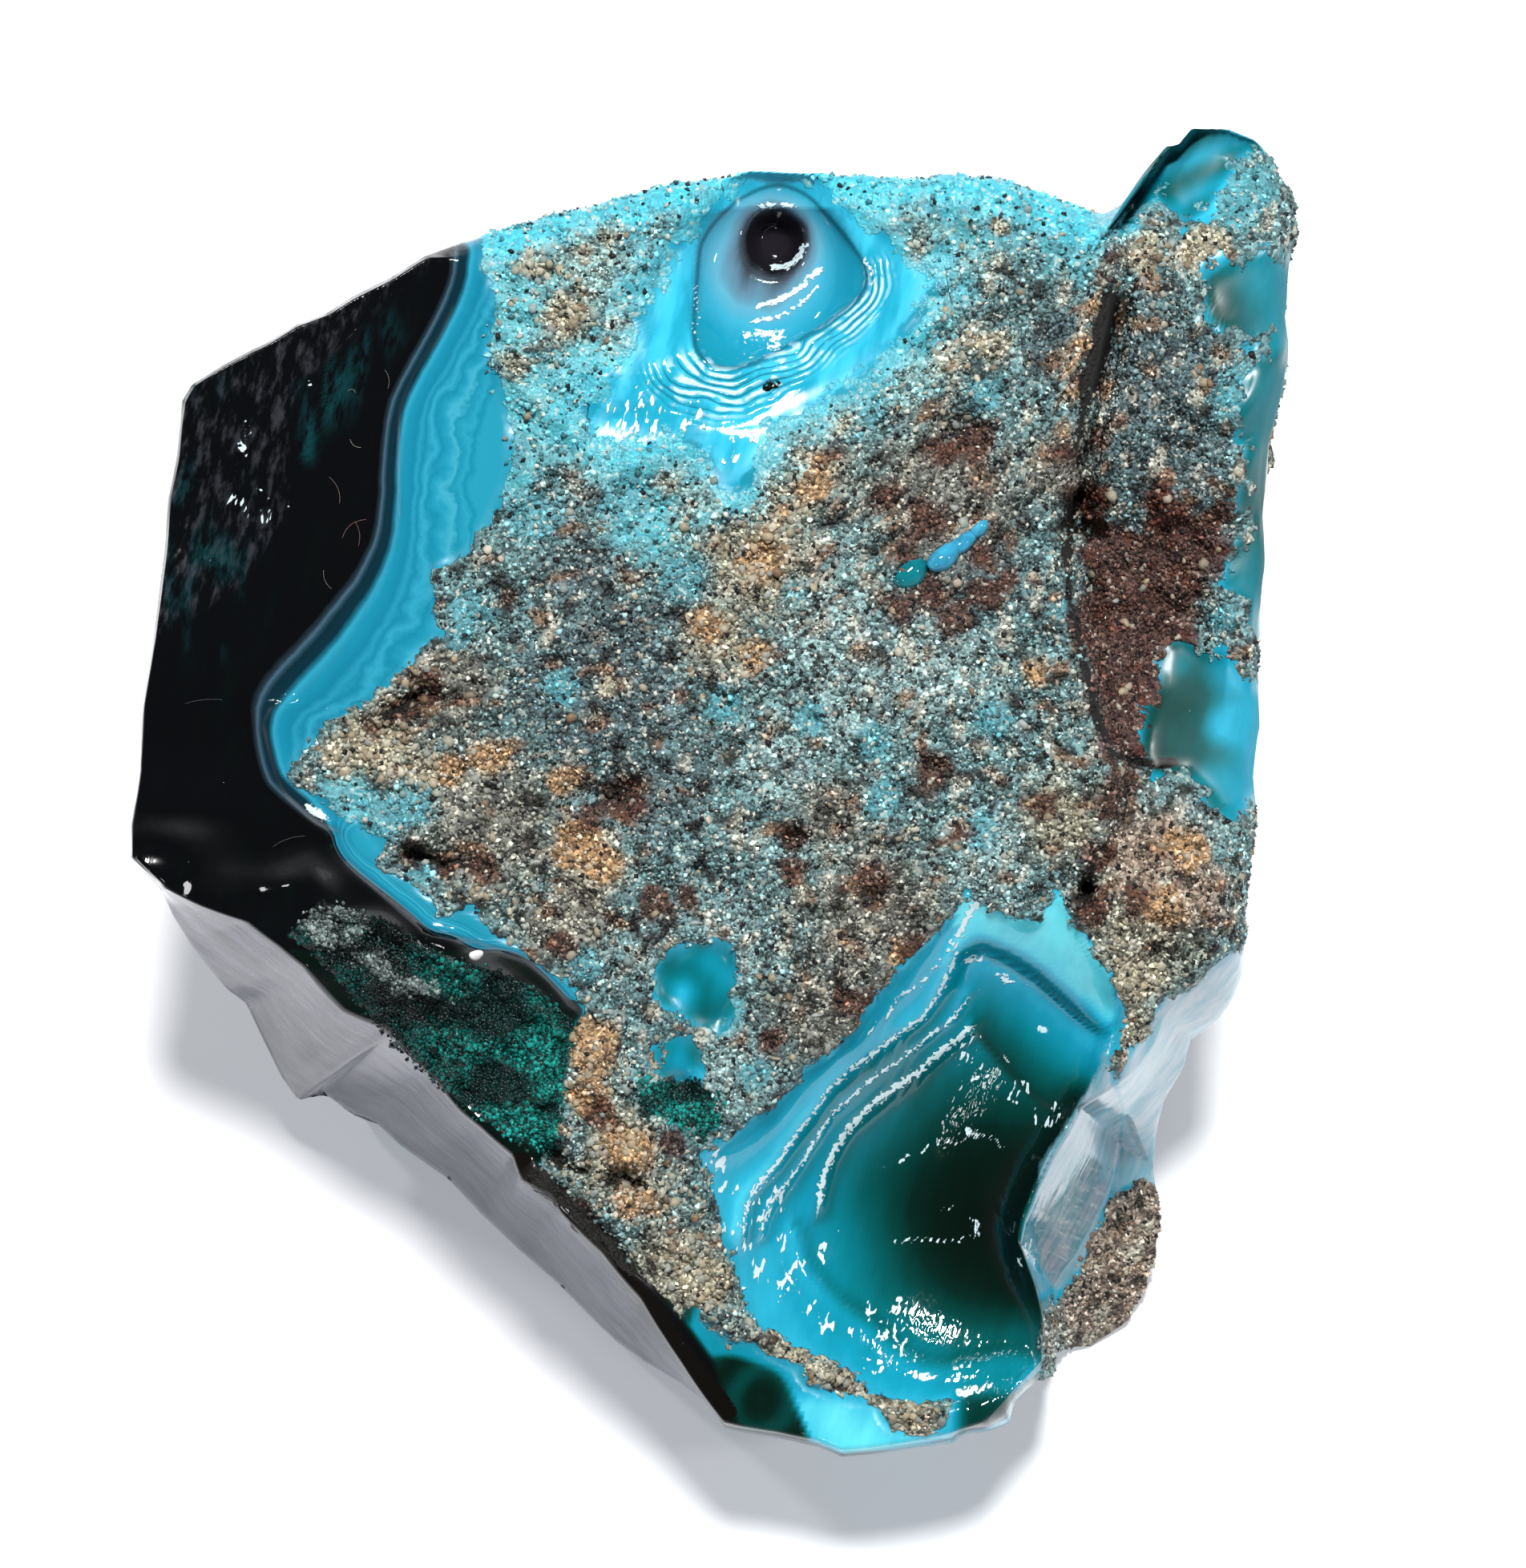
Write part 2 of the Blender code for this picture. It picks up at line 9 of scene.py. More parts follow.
import bpy
import numpy as np
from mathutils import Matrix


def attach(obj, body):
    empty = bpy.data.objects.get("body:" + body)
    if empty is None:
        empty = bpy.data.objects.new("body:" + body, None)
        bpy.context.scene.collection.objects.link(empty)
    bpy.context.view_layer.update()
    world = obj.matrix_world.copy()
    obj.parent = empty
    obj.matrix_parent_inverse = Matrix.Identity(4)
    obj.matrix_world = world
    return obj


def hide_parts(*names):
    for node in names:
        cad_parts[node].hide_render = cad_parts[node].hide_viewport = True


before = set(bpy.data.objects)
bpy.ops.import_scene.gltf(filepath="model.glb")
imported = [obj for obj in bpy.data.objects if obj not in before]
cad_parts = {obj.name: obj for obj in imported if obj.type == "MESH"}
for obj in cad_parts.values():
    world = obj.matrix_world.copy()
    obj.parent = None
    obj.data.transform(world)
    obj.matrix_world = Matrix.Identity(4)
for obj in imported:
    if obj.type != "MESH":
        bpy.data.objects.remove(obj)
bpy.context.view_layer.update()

# ----------
# The lump. One fused mass of turquoise glass, black inside, that cooled in sand and was broken out
# with a hammer. Its face is the old crusted skin; every other side is a fresh glassy break. It is
# drawn in its face frame, in millimetres: a to the right, b up the face, c out of it.
MM = 0.001
LEAN = 20               # degrees that the face leans back from level
FACE_HEIGHT = 43        # middle of the face above the table
EYE_DISTANCE = 350      # height over the face that its outlines are drawn from
EYE_FOOT = (3.7, 0.4)   # the point of the face under that height
MIDDLE = (-0.04, 3.3)   # x and y of the lump's middle, moved to the origin
FACE_RINGS = 120        # rings of quads across the face, from its middle to its rim
EDGE_RING = 58          # the ring along the crust's end and the crack
CREST_RING = 99         # the ring where the face turns over towards its rim
SIDE_ROWS = 80          # rows of quads down the sides

# The rim of the face, clockwise from the upper left: a, b, and c below the crust.
RIM = [
    (-18.9, 40.9, -3.5), (-15, 42, -3), (-11.4, 43, -3), (-7.2, 44.1, -3), (-2.4, 45.4, -3),
    (1.2, 45.8, -3), (2.7, 46.3, -3), (6.6, 46.1, -3), (10.2, 45.8, -3), (12.6, 45.6, -3), (15.6, 45.8, -3),
    (19.2, 45.9, -3), (22.2, 45.4, -3.5), (25.8, 44, -4.5), (29.1, 42.8, -7), (30.6, 43.8, -9),
    (32.4, 46.2, -10), (33.9, 48.1, -10), (34.8, 48.3, -9.5), (35.8, 49.5, -9), (38.4, 49.4, -9),
    (40.5, 48.6, -9), (42, 46.8, -9), (42.4, 45.6, -9), (43.2, 44.4, -9), (43.3, 41.7, -9),
    (42.9, 39.3, -9), (42.6, 35.7, -9), (42.9, 33.3, -9), (42.4, 30.9, -9), (41.7, 28.5, -9),
    (41.3, 26.7, -9), (41, 23.7, -9), (40.8, 20.7, -9.5), (41, 17.1, -10), (40.5, 13.5, -10),
    (40.3, 9.9, -10), (40.5, 5.1, -9.5), (40.1, 1.5, -9), (40.5, -1.2, -9), (40.1, -3.9, -9),
    (39.5, -6.9, -9.5), (39.6, -10.5, -10.5), (39.6, -13.5, -12), (38.7, -15.9, -13.5), (37.5, -17.4, -15),
    (35.7, -18.6, -16), (35.1, -20.7, -18), (33.7, -23.1, -20), (33, -26.1, -24), (32.9, -28.5, -27),
    (33.4, -32.1, -28), (33, -35.1, -28.5), (32.1, -37.5, -29), (30.9, -39.9, -29), (28.2, -41.7, -29),
    (26.1, -41.8, -28), (25.2, -42.3, -22), (25.3, -43.8, -15), (24, -44.4, -12), (22.5, -45.9, -12.5),
    (22.1, -47.4, -13), (20.7, -48, -13.5), (18.6, -48.3, -14), (18, -48.9, -14), (13.2, -49.6, -14),
    (9.6, -50, -14), (7.8, -49.2, -13.5), (4.8, -48.6, -13), (1.8, -48.1, -12.5), (0.9, -47.9, -12),
    (-0.6, -45.9, -16), (-2.4, -44.4, -20), (-5.4, -42.7, -24), (-8.4, -40.3, -27), (-11.4, -37.2, -30),
    (-14.4, -34.6, -31.5), (-17.4, -31.8, -33), (-19.8, -29.2, -33.5), (-23.4, -26.7, -34),
    (-25.2, -24.9, -33), (-27, -24.2, -32), (-29.4, -22.6, -28), (-31.1, -23.2, -27), (-32.3, -21.6, -25),
    (-33.6, -18.9, -23.5), (-34.9, -16, -22), (-36.3, -15, -20), (-39, -11.7, -16), (-40.5, -9.3, -12),
    (-41.4, -7.2, -9), (-43.5, -5.1, -6), (-43.6, -2.7, -6), (-42.9, 1.5, -6), (-42.7, 6.3, -6),
    (-41.9, 11.1, -6), (-41.1, 17.1, -6), (-40.7, 21.9, -6), (-40.1, 24.9, -6), (-39.7, 29.1, -6),
    (-39, 30.3, -5.5), (-36.6, 31.8, -5), (-33.6, 33.3, -5), (-31.2, 34.8, -5), (-28.8, 35.7, -4.5),
    (-27, 36.9, -4.5), (-24, 38.4, -4), (-21.6, 39.9, -3.5),
]
# Where the crust ends against the dark broken glass on the left, from the top down.
BREAK_EDGE = [
    (-18.9, 40.9), (-18.4, 39.4), (-19, 36.4), (-20.3, 33.7), (-22.2, 31), (-23.2, 28.4), (-23.3, 24.4),
    (-23.2, 20.3), (-23.8, 17.6), (-24.9, 14.9), (-26.2, 12.3), (-28.1, 9.6), (-31.3, 6.4), (-32.7, 6.3),
    (-33.4, 4.9), (-33, 3.1), (-32.4, 0.9), (-31.5, -0.3), (-29.4, -2.1), (-27.6, -3), (-27, -5.1),
    (-25.2, -6.8), (-23.3, -8.4), (-21.2, -10.3), (-19.6, -10.6), (-17.4, -11.2), (-15.6, -11.7),
    (-13.8, -12.3), (-12, -13.8), (-10.4, -15.6), (-9.6, -16.6),
]
# The rest of that edge, along the sugary green glass, down to the cliff.
SUGAR_EDGE = [
    (-9.6, -16.6), (-10.5, -17.9), (-11.2, -20.7), (-11.4, -24.3), (-12.2, -27.3), (-14.2, -29.2),
]
# Top edge of the steep side at the lower left, from the left tip to the bottom.
CLIFF_EDGE = [
    (-43.5, -5.4), (-42, -6.9), (-38.4, -8.7), (-34.8, -9.9), (-32.4, -11.7), (-30.6, -13.2),
    (-29.4, -14.7), (-27.6, -16.5), (-24.6, -17.7), (-23.4, -18.9), (-21, -21.3), (-18.9, -24),
    (-17.4, -25.2), (-15, -27.3), (-14.4, -29.1), (-12, -30.3), (-11.4, -31.5), (-8.4, -34.5),
    (-5.4, -38.1), (-3.6, -41.1), (-2.4, -42.9), (-0.6, -45.6), (0.6, -48),
]
# The scooped hollow at the lower right: its two sandy sides, its thin glass side, its lower lip.
HOLLOW_LEFT = [
    (0.9, -36.9), (0.6, -34.5), (-0.6, -30.9), (-1.2, -27.6), (0.6, -26.7), (4.2, -24), (6.6, -21.3),
    (10.2, -18.3), (12.6, -14.7), (16.2, -11.1), (18.9, -7.8), (24, -9.9), (26.1, -7.5), (27.9, -11.1),
    (29.7, -13.8), (30.3, -16.2),
]
HOLLOW_RIGHT = [
    (30.3, -16.2), (29.7, -18.3), (28.8, -21.3), (27.3, -23.7), (25.2, -27.3), (24, -29.7), (23.1, -32.1),
    (22.8, -33.9), (24, -36.9), (24.9, -39.9), (24.6, -42.9),
]
HOLLOW_LIP = [
    (24.6, -42.9), (21.6, -45.3), (18.6, -46.2), (15.6, -46.5), (12.6, -45.7), (9.6, -44.2), (6, -42.4),
    (2.4, -39.6), (0.9, -36.9),
]
# Where the face turns over towards its rim, clockwise from the upper left.
CREST = [
    (-18.7, 38.4), (-10, 40.6), (-2.4, 42.9), (3, 43.7), (6.6, 43.6), (12.6, 43.2), (19.2, 43.4),
    (25, 41.6), (28.7, 40.9), (33.6, 46.9), (35.2, 47.7), (36.2, 47.6), (38.2, 47.4), (40.2, 46),
    (41.1, 44), (41.2, 41.5), (40.8, 38), (40.6, 34), (40.2, 31), (39.2, 27), (38.8, 23), (38.8, 18),
    (38.4, 12), (38.3, 6), (38.2, 1), (38.1, -4), (37.6, -8), (37.8, -11.6), (34.8, -15.3), (33.6, -17.1),
    (33, -18.9), (31.2, -21.3),
] + HOLLOW_RIGHT[3:9] + [
    (24.7, -39.9), (24.5, -42.8), (22.2, -45.2), (20.4, -47.3), (17.6, -48.2), (13.2, -49.1), (9.6, -49.5),
    (7.6, -48.7), (4.7, -48.1), (2.2, -47.7), (0.8, -47.4),
] + CLIFF_EDGE[-2:0:-1] + [
    (-43.2, -5.2), (-42.3, -2.9), (-41.4, 0), (-41.1, 5), (-40.2, 11), (-39.5, 17), (-39, 22), (-38.4, 25),
    (-37.8, 28.2), (-36.8, 29.3), (-33, 31.3), (-30.4, 32.8), (-28, 33.8), (-26.2, 35), (-23.4, 36.3),
    (-21, 37.6),
]
# The crack that parts the main face from the lower strip on the right, from the top down.
CRACK = [
    (29.3, 42.8), (30, 41.1), (29.7, 38.7), (29.4, 35.7), (28.9, 33.3), (28.2, 30.3), (27.6, 27.3),
    (26.7, 24.3), (26.1, 20.7), (25.8, 19.5), (26.4, 17.7), (26.7, 14.7), (27.3, 11.7), (28.2, 8.1),
    (28.8, 5.1), (29.7, 2.7), (30.1, 0.3), (29.7, -1.5), (28.5, -4.5), (27.6, -6.9), (27.3, -8.7),
]
# One closed line of edges across the face: the crust's end on the left, the middle of the hollow,
# the crack on the right, and back below the top edge.
EDGES = BREAK_EDGE[2:] + [
    (-8, -21), (-5, -27.5), (-1, -33), (5, -34.5), (12, -33), (17, -29), (19.5, -25), (21, -21.5),
    (22.5, -17.5), (24.5, -13.5), (26.5, -10.5),
] + CRACK[:1:-1] + [
    (28, 38.5), (24, 38), (18, 36.5), (10, 34), (2, 34), (-6, 34), (-13, 34.5), (-17, 35.5),
]
# How the face falls from its crest to its rim, by direction from the middle in degrees: the share
# of the way out at which it bends, the share of the fall by then, and how rounded it is.
FALLS = [
    (-180, 0.93, 0.2, 0), (-172, 0.9, 0.2, 0), (-168, 0.5, 0.5, 0), (-92, 0.5, 0.5, 0),
    (-88, 0.6, 0.35, 0.6), (-63, 0.6, 0.35, 0.6), (-59.5, 0.25, 0.55, 0), (-57, 0.45, 0.85, 0),
    (-41, 0.52, 0.88, 0), (-38, 0.45, 0.62, 0), (-30, 0.5, 0.55, 0), (-20, 0.5, 0.5, 0.3),
    (-12, 0.6, 0.35, 1), (113, 0.6, 0.35, 1), (118, 0.9, 0.2, 0), (180, 0.93, 0.2, 0),
]
PIT = (4.6, 40.9)       # the middle of the dark pit in the eye
# Pits in the crust, and two low lumps: a, b, radius, depth.
PITS = [
    (-7.2, 0, 2.4, 1.6), (18.6, 26.1, 3, 1.5), (-21, -5.4, 2.4, 1.2), (-9, -20.7, 2.6, -1),
    (-6.6, -28, 2.8, -0.9),
]


def rise(low, high, x):
    """0 below low, 1 above high, and 3t^2 - 2t^3 between them."""
    t = np.clip((x - low) / (high - low), 0, 1)
    return t * t * (3 - 2 * t)


def distance_to(line, a, b):
    """Distance from each point to a line of straight pieces, and which side of it the point is on.

    The side is +1 to the left of the way the line is drawn, and -1 to its right.
    """
    best = np.full(a.shape, 1e9)
    side = np.ones(a.shape)
    for (ax, ay), (bx, by) in zip(line[:-1], line[1:]):
        dx, dy = bx - ax, by - ay
        t = np.clip(((a - ax) * dx + (b - ay) * dy) / (dx * dx + dy * dy), 0, 1)
        away = np.hypot(a - ax - t * dx, b - ay - t * dy)
        nearer = away < best - 1e-9
        best = np.where(nearer, away, best)
        side = np.where(nearer, np.sign(dx * (b - ay) - dy * (a - ax)), side)
    return best, side


def inside(loop, a, b):
    """True for points inside a closed outline, by counting the crossings of a level ray."""
    found = np.zeros(a.shape, bool)
    for (ax, ay), (bx, by) in zip(loop, loop[1:] + loop[:1]):
        if ay != by:
            crosses = ((ay > b) != (by > b)) & (a < (bx - ax) * (b - ay) / (by - ay) + ax)
            found ^= crosses
    return found


def ripple(points, wavelength, seed):
    """Smooth, seeded roughness between about -1 and 1: a sum of 24 plane waves in all directions."""
    rng = np.random.default_rng(seed)
    waves = rng.normal(size=(24, 3))
    waves /= np.linalg.norm(waves, axis=1)[:, None]
    waves *= rng.uniform(0.6, 1.4, 24)[:, None] * 2 * math.pi / wavelength
    return np.sin(points @ waves.T + rng.uniform(0, 2 * math.pi, 24)).sum(axis=1) / 5


def on_plane(a, b):
    """Drawn places as points of a level plane, for ripples that ignore height."""
    return np.stack([a, b, np.zeros_like(a)], axis=1)


def rim_at(share):
    """The rim's a, b and c at a share of its drawn length, as an (n, 3) array."""
    loop = np.array(RIM + RIM[:1])
    steps = np.hypot(*np.diff(loop[:, :2], axis=0).T)
    along = np.concatenate([[0], np.cumsum(steps)]) / steps.sum()
    return np.stack([np.interp(share % 1, along, loop[:, k]) for k in range(3)], axis=1)


def reach_of(line, angle):
    """How far a closed line round the middle lies from it, in each direction, in radians."""
    loop = np.array(line)
    order = np.argsort(np.arctan2(loop[:, 1], loop[:, 0]))
    return np.interp(angle, np.arctan2(loop[:, 1], loop[:, 0])[order],
                     np.hypot(loop[:, 0], loop[:, 1])[order], period=2 * math.pi)


def face_points(share, ring):
    """Drawn points of the face at a share of the rim's length, ring = 0 in the middle and 1 on the rim.

    Rings are spaced evenly out to EDGES, on to CREST and on to the rim, and one lies along each.
    """
    rim = rim_at(share)
    angle = np.arctan2(rim[:, 1], rim[:, 0])
    far = np.hypot(rim[:, 0], rim[:, 1])
    crest = np.minimum(reach_of(CREST, angle), 0.995 * far)
    edge = np.minimum(reach_of(EDGES, angle), 0.95 * crest)
    first, second = EDGE_RING / FACE_RINGS, CREST_RING / FACE_RINGS
    out = np.clip((ring - second) / (1 - second), 0, 1)
    bend, fallen, rounded = [np.interp(np.degrees(angle), [f[0] for f in FALLS], [f[k] for f in FALLS])
                             for k in (1, 2, 3)]
    straight = np.where(out < 0.5, 2 * out * bend, bend + (2 * out - 1) * (1 - bend))
    way = np.where(rounded > 0, straight * (1 - rounded) + out * rounded, straight)
    fall = np.where(out < 0.5, 2 * out * fallen, fallen + (2 * out - 1) * (1 - fallen))
    fall = fall * (1 - rounded) + (1 - np.sqrt(1 - way ** 2)) * rounded
    beyond = edge + (crest - edge) * (ring - first) / (second - first)
    reach = np.where(ring < first, edge * ring / first, beyond)
    reach = np.where(ring > second, crest + (far - crest) * way, reach)
    a, b = reach * np.cos(angle), reach * np.sin(angle)
    inner = np.minimum(reach, crest)
    within_a, within_b = inner * np.cos(angle), inner * np.sin(angle)
    c = face_height(within_a, within_b) + face_detail(within_a, within_b)
    return a, b, c + (rim[:, 2] - c) * np.where(ring > second, fall, 0)


def dents(spots, a, b):
    """Round dents, each flat inside a third of its radius and gone at its edge, added together."""
    total = np.zeros_like(a)
    for spot_a, spot_b, radius, depth in spots:
        total += depth * rise(1, 0.35, np.hypot(a - spot_a, b - spot_b) / radius)
    return total


def face_height(a, b):
    """c of the face inside its crest, at each drawn point."""
    flat = on_plane(a, b)
    c = -0.0005 * (a * a + b * b) + 0.25 * ripple(flat, 26, 3)

    # The dark broken glass on the left falls away from the crust in two shallow facets.
    away, side = distance_to(BREAK_EDGE + SUGAR_EDGE[1:], a, b)
    left = np.where(side < 0, away, 0)
    left = np.where((a < -9) & (b < 41), left, 0)
    slope = 0.1 + 0.06 * rise(2, 10, left)
    c -= rise(0, 0.7, left) * 0.6 + slope * left
    far = np.clip(-(a + 0.45 * b + 22.5), 0, None)
    c -= 0.1 * far * rise(-2, 4, b)
    sugary = rise(0.5, 3.5, left) * rise(-7, -12, b + 0.15 * a)
    c -= sugary * (1 + 0.5 * ripple(flat, 7, 7))

    # The lower strip on the right, with the crack along its edge and a brown hollow in it.
    away, side = distance_to(CRACK, a, b)
    right = np.where(side > 0, away, -away)
    right = np.where(b < -8.7, a - 27.3, right)
    level = np.interp(b, [-14, -9, -5, 0, 4, 12, 20, 24, 34, 40, 50],
                      [0, 0.6, 2, 4.5, 6, 7, 7, 5.5, 5, 4.5, 9])
    c -= rise(0, 1.2, right) * level
    crack = rise(0, 0.5, right) * rise(2.4, 1.4, right)
    c -= crack * 4 * rise(17, 21, b) * rise(38, 34, b)
    brown = np.exp(-((a - 32) / 5.5) ** 2 - ((b - 12.5) / 7) ** 2)
    c -= 4 * brown * rise(0, 1.5, right)
    c += 0.5 * ripple(flat, 7, 9) * rise(0, 2, right)
    below = np.clip(-b - 9, 0, None) * rise(28, 34, a)
    c -= 0.55 * below

    # The sandy shelf round the hollow and at the foot of the face tilts down.
    c -= 0.15 * np.clip(-7.8 - b, 0, None) * rise(-8, 4, a)
    c -= 0.16 * np.clip(-22 - b, 0, None) * rise(4, -6, a)

    # The hollow, with a small step at its sandy edge, and a low crest along its thin glass side.
    d_left = distance_to(HOLLOW_LEFT, a, b)[0]
    d_right = distance_to(HOLLOW_RIGHT, a, b)[0]
    c -= 8 * film_at(a, b)
    c -= np.where(inside(HOLLOW, a, b), 0.4 * rise(0, 0.8, d_left), 0)
    crest = np.exp(-(d_right / 2) ** 2) * rise(-15, -19, b)
    c -= crest * np.interp(b, [-43, -33, -24, -17], [1, 1.6, 1.2, 0.3])

    # The eye at the top: a smooth dish with a deep dark pit.
    reach = np.hypot((a - 4.3) / 7, (b - 38.6) / 7.6)
    c -= 2.6 * rise(1.05, 0.55, reach)
    c -= 1 * rise(1.75, 1, reach)
    c -= 2.8 * rise(2.7, 1, np.hypot(a - PIT[0], (b - PIT[1]) / 1.08))

    # Pits and small lumps in the crust.
    c -= dents(PITS, a, b)

    # The broken left side of the small horn at the upper right.
    away = distance_to([(29.1, 42.8), (33.9, 48.1)], a, b)[0]
    c -= 2 * rise(2.2, 0.6, away) * rise(44, 46, a + 0.4 * b)
    return c


HOLLOW = HOLLOW_LEFT + HOLLOW_RIGHT[1:] + HOLLOW_LIP[1:-1]
FILM_STEP = 0.25        # millimetres between the points that the hollow's depth is worked out on
FILM_CORNER = (-3, -48)  # the least a and b of those points
FILM_PASSES = 9000      # times that every point takes the mean of its neighbours


def pressed_film():
    """How deep the hollow is, 0 at its edge and 1 at its deepest, on a grid of points.

    A film held all round its outline is pressed down, hardest beside the thin glass side: each point
    inside goes to the mean of its four neighbours plus the pressure there.
    """
    a, b = np.meshgrid(np.arange(FILM_CORNER[0], 32, FILM_STEP),
                       np.arange(FILM_CORNER[1], -6, FILM_STEP), indexing="ij")
    held = ~inside(HOLLOW, a, b)
    pressure = 0.01 * (1 + 7 * np.exp(-(distance_to(HOLLOW_RIGHT, a, b)[0] / 2.5) ** 2))
    film = np.zeros_like(a)
    for _ in range(FILM_PASSES):
        film[1:-1, 1:-1] = (film[:-2, 1:-1] + film[2:, 1:-1] + film[1:-1, :-2] + film[1:-1, 2:]) / 4
        film += pressure
        film[held] = 0
    return film / film.max()


FILM = pressed_film()


def film_at(a, b):
    """The film's depth at each drawn point, straight between the grid's points."""
    i = np.clip((a - FILM_CORNER[0]) / FILM_STEP, 0, FILM.shape[0] - 1.001)
    j = np.clip((b - FILM_CORNER[1]) / FILM_STEP, 0, FILM.shape[1] - 1.001)
    k, m = i.astype(int), j.astype(int)
    i, j = i - k, j - m
    low = FILM[k, m] * (1 - i) + FILM[k + 1, m] * i
    return low * (1 - j) + (FILM[k, m + 1] * (1 - i) + FILM[k + 1, m + 1] * i) * j


def to_lump(a, b, c):
    """Drawn face coordinates to x, y, z in millimetres on the table."""
    true_a = EYE_FOOT[0] + (a - EYE_FOOT[0]) * (1 - c / EYE_DISTANCE)
    true_b = EYE_FOOT[1] + (b - EYE_FOOT[1]) * (1 - c / EYE_DISTANCE)
    sine, cosine = math.sin(math.radians(LEAN)), math.cos(math.radians(LEAN))
    x = true_a - MIDDLE[0]
    y = true_b * cosine - c * sine - MIDDLE[1]
    z = true_b * sine + c * cosine + FACE_HEIGHT
    return np.stack([x, y, z], axis=1)


def wall(share, t):
    """Points of the side under the rim at a share of its length, t = 0 at the rim and 1 at the foot.

    The foot is the rim drawn in towards the middle, less where the rim is low already. The side
    bulges out between them, and breaks are then cut into it.
    """
    top = to_lump(*rim_at(share).T)
    plan = sum(to_lump(*rim_at(share + k / 100).T) for k in range(-4, 5)) / 9
    angle = np.arctan2(plan[:, 1], plan[:, 0])
    draw = 0.82 + 0.04 * np.cos(angle - 0.4) + 0.03 * np.cos(3 * angle + 1)
    low = rise(20, 4, top[:, 2])
    draw = draw + (0.965 - draw) * low
    plan = plan + (top - plan) * low[:, None]
    foot = plan * draw[:, None]
    foot[:, 1] += 1.5 * (1 - low)
    foot[:, 2] = -0.6
    inwards = 1 - (1 - t) ** (1 + 0.8 * (1 - low))
    points = top + (foot - top) * np.stack([inwards, inwards, t], axis=1)
    bulge = 0.1 * np.sin(math.pi * t ** 0.8) * (1 - low) * rise(-1, 0.4, np.sin(angle))
    points[:, :2] *= (1 + bulge)[:, None]
    rough = rise(0, 0.25, t) * rise(5, 18, top[:, 2])
    outward = np.stack([np.cos(angle), np.sin(angle), np.zeros_like(angle)], axis=1)
    craggy = 1.2 * ripple(points, 26, 21) + 0.4 * ripple(points, 9, 22)
    craggy -= 1.6 * np.abs(ripple(points, 19, 23)) + 0.2
    points += outward * (rough * craggy)[:, None]
    return points


# Flat breaks in the sides: the outward direction, and how far out the lump is left standing.
FLAT_BREAKS = [
    ((0.9, -0.1, -0.36), 29.5), ((-0.78, 0.46, -0.34), 33), ((0.45, 0.8, -0.34), 34.5),
    ((-0.9, -0.15, -0.3), 30), ((-0.25, 0.92, -0.22), 35), ((0.62, -0.7, -0.3), 31),
    ((0.7, 0.62, -0.35), 37),
]
# Dished breaks: middle on the side, radius, depth.
DISHED_BREAKS = [
    ((-38, 8, 20), 13, 2.6), ((-26, 30, 30), 12, 2.4), ((10, 40, 22), 14, 3),
    ((38, 6, 16), 12, 2.4), ((33, 28, 30), 9, 2), ((-10, 42, 14), 10, 2.2),
    ((14, -36, 6), 8, 1.4),
]


def break_sides(points, share_down):
    """Cut the flat and dished breaks into the sides, leaving the rim itself where it was drawn."""
    held = rise(0.02, 0.22, share_down)
    points = points.copy()
    for direction, stands in FLAT_BREAKS:
        normal = np.array(direction) / np.linalg.norm(direction)
        over = np.clip(points @ normal - stands, 0, None) * held
        points -= over[:, None] * normal
    for middle, radius, depth in DISHED_BREAKS:
        middle = np.array(middle)
        normal = middle * (1, 1, 0) / np.linalg.norm(middle[:2])
        near = np.clip(1 - ((points - middle) ** 2).sum(axis=1) / radius ** 2, 0, None)
        points -= (depth * near * held)[:, None] * normal
    return points


# Where the crust begins beside the broken glass on the left, from the top down to the hollow's lip.
CRUST_LEFT = [
    (-17.5, 41.1), (-16.7, 38.1), (-16.1, 35.1), (-16.7, 32.1), (-15.9, 29.6), (-15.1, 27), (-15.5, 23.1),
    (-16.8, 20.1), (-18.3, 17.7), (-20, 16.8), (-21, 16.4), (-20.7, 13.5), (-20.4, 11.7), (-22.2, 9.9),
    (-24, 8.1), (-25.8, 6.3), (-27, 5.6), (-28.5, 5.1), (-29.4, 4.5), (-30.6, 3.3), (-31.9, 1.2),
    (-30.8, 0.4), (-28.2, -1.5), (-24.7, -3.9), (-25.2, -5.5), (-23.8, -6.6), (-21.7, -7.9), (-20.3, -9.5),
    (-17.9, -8.7), (-16.3, -11.1), (-14.2, -11.9), (-11.4, -13.8),
] + SUGAR_EDGE + [
    (-12, -30.9), (-10.7, -32.2), (-7.8, -34.6), (-5.4, -36.4), (-3.5, -38.2), (-2.4, -39.3), (-1.3, -38.6),
    (-0.6, -40), (0.9, -41.2), (3, -41.3),
]
# The rest of the crust's outline: round the hollow, down its right side, and below the top rim.
CRUST_RIGHT = [
    (3.6, -40.7), (2.4, -38.1), (1.5, -36.3), (0.9, -33.9), (0.3, -30.9), (-0.6, -28.6), (-1.3, -27.4),
    (-0.1, -26.4),
] + HOLLOW_LEFT[5:11] + [
    (21, -9.3), (24, -9.9), (25.9, -7.4), (26.7, -9.9), (28.2, -11.2), (29.8, -13.8), (30.6, -15.9),
    (30.5, -18.3), (29.5, -20.1), (30.2, -22), (31.2, -20), (33, -17.2), (34, -15.3), (36, -14.8),
    (37.3, -13.2), (39.7, -11.6), (50, -11.6), (50, 54), (-17.5, 54),
]
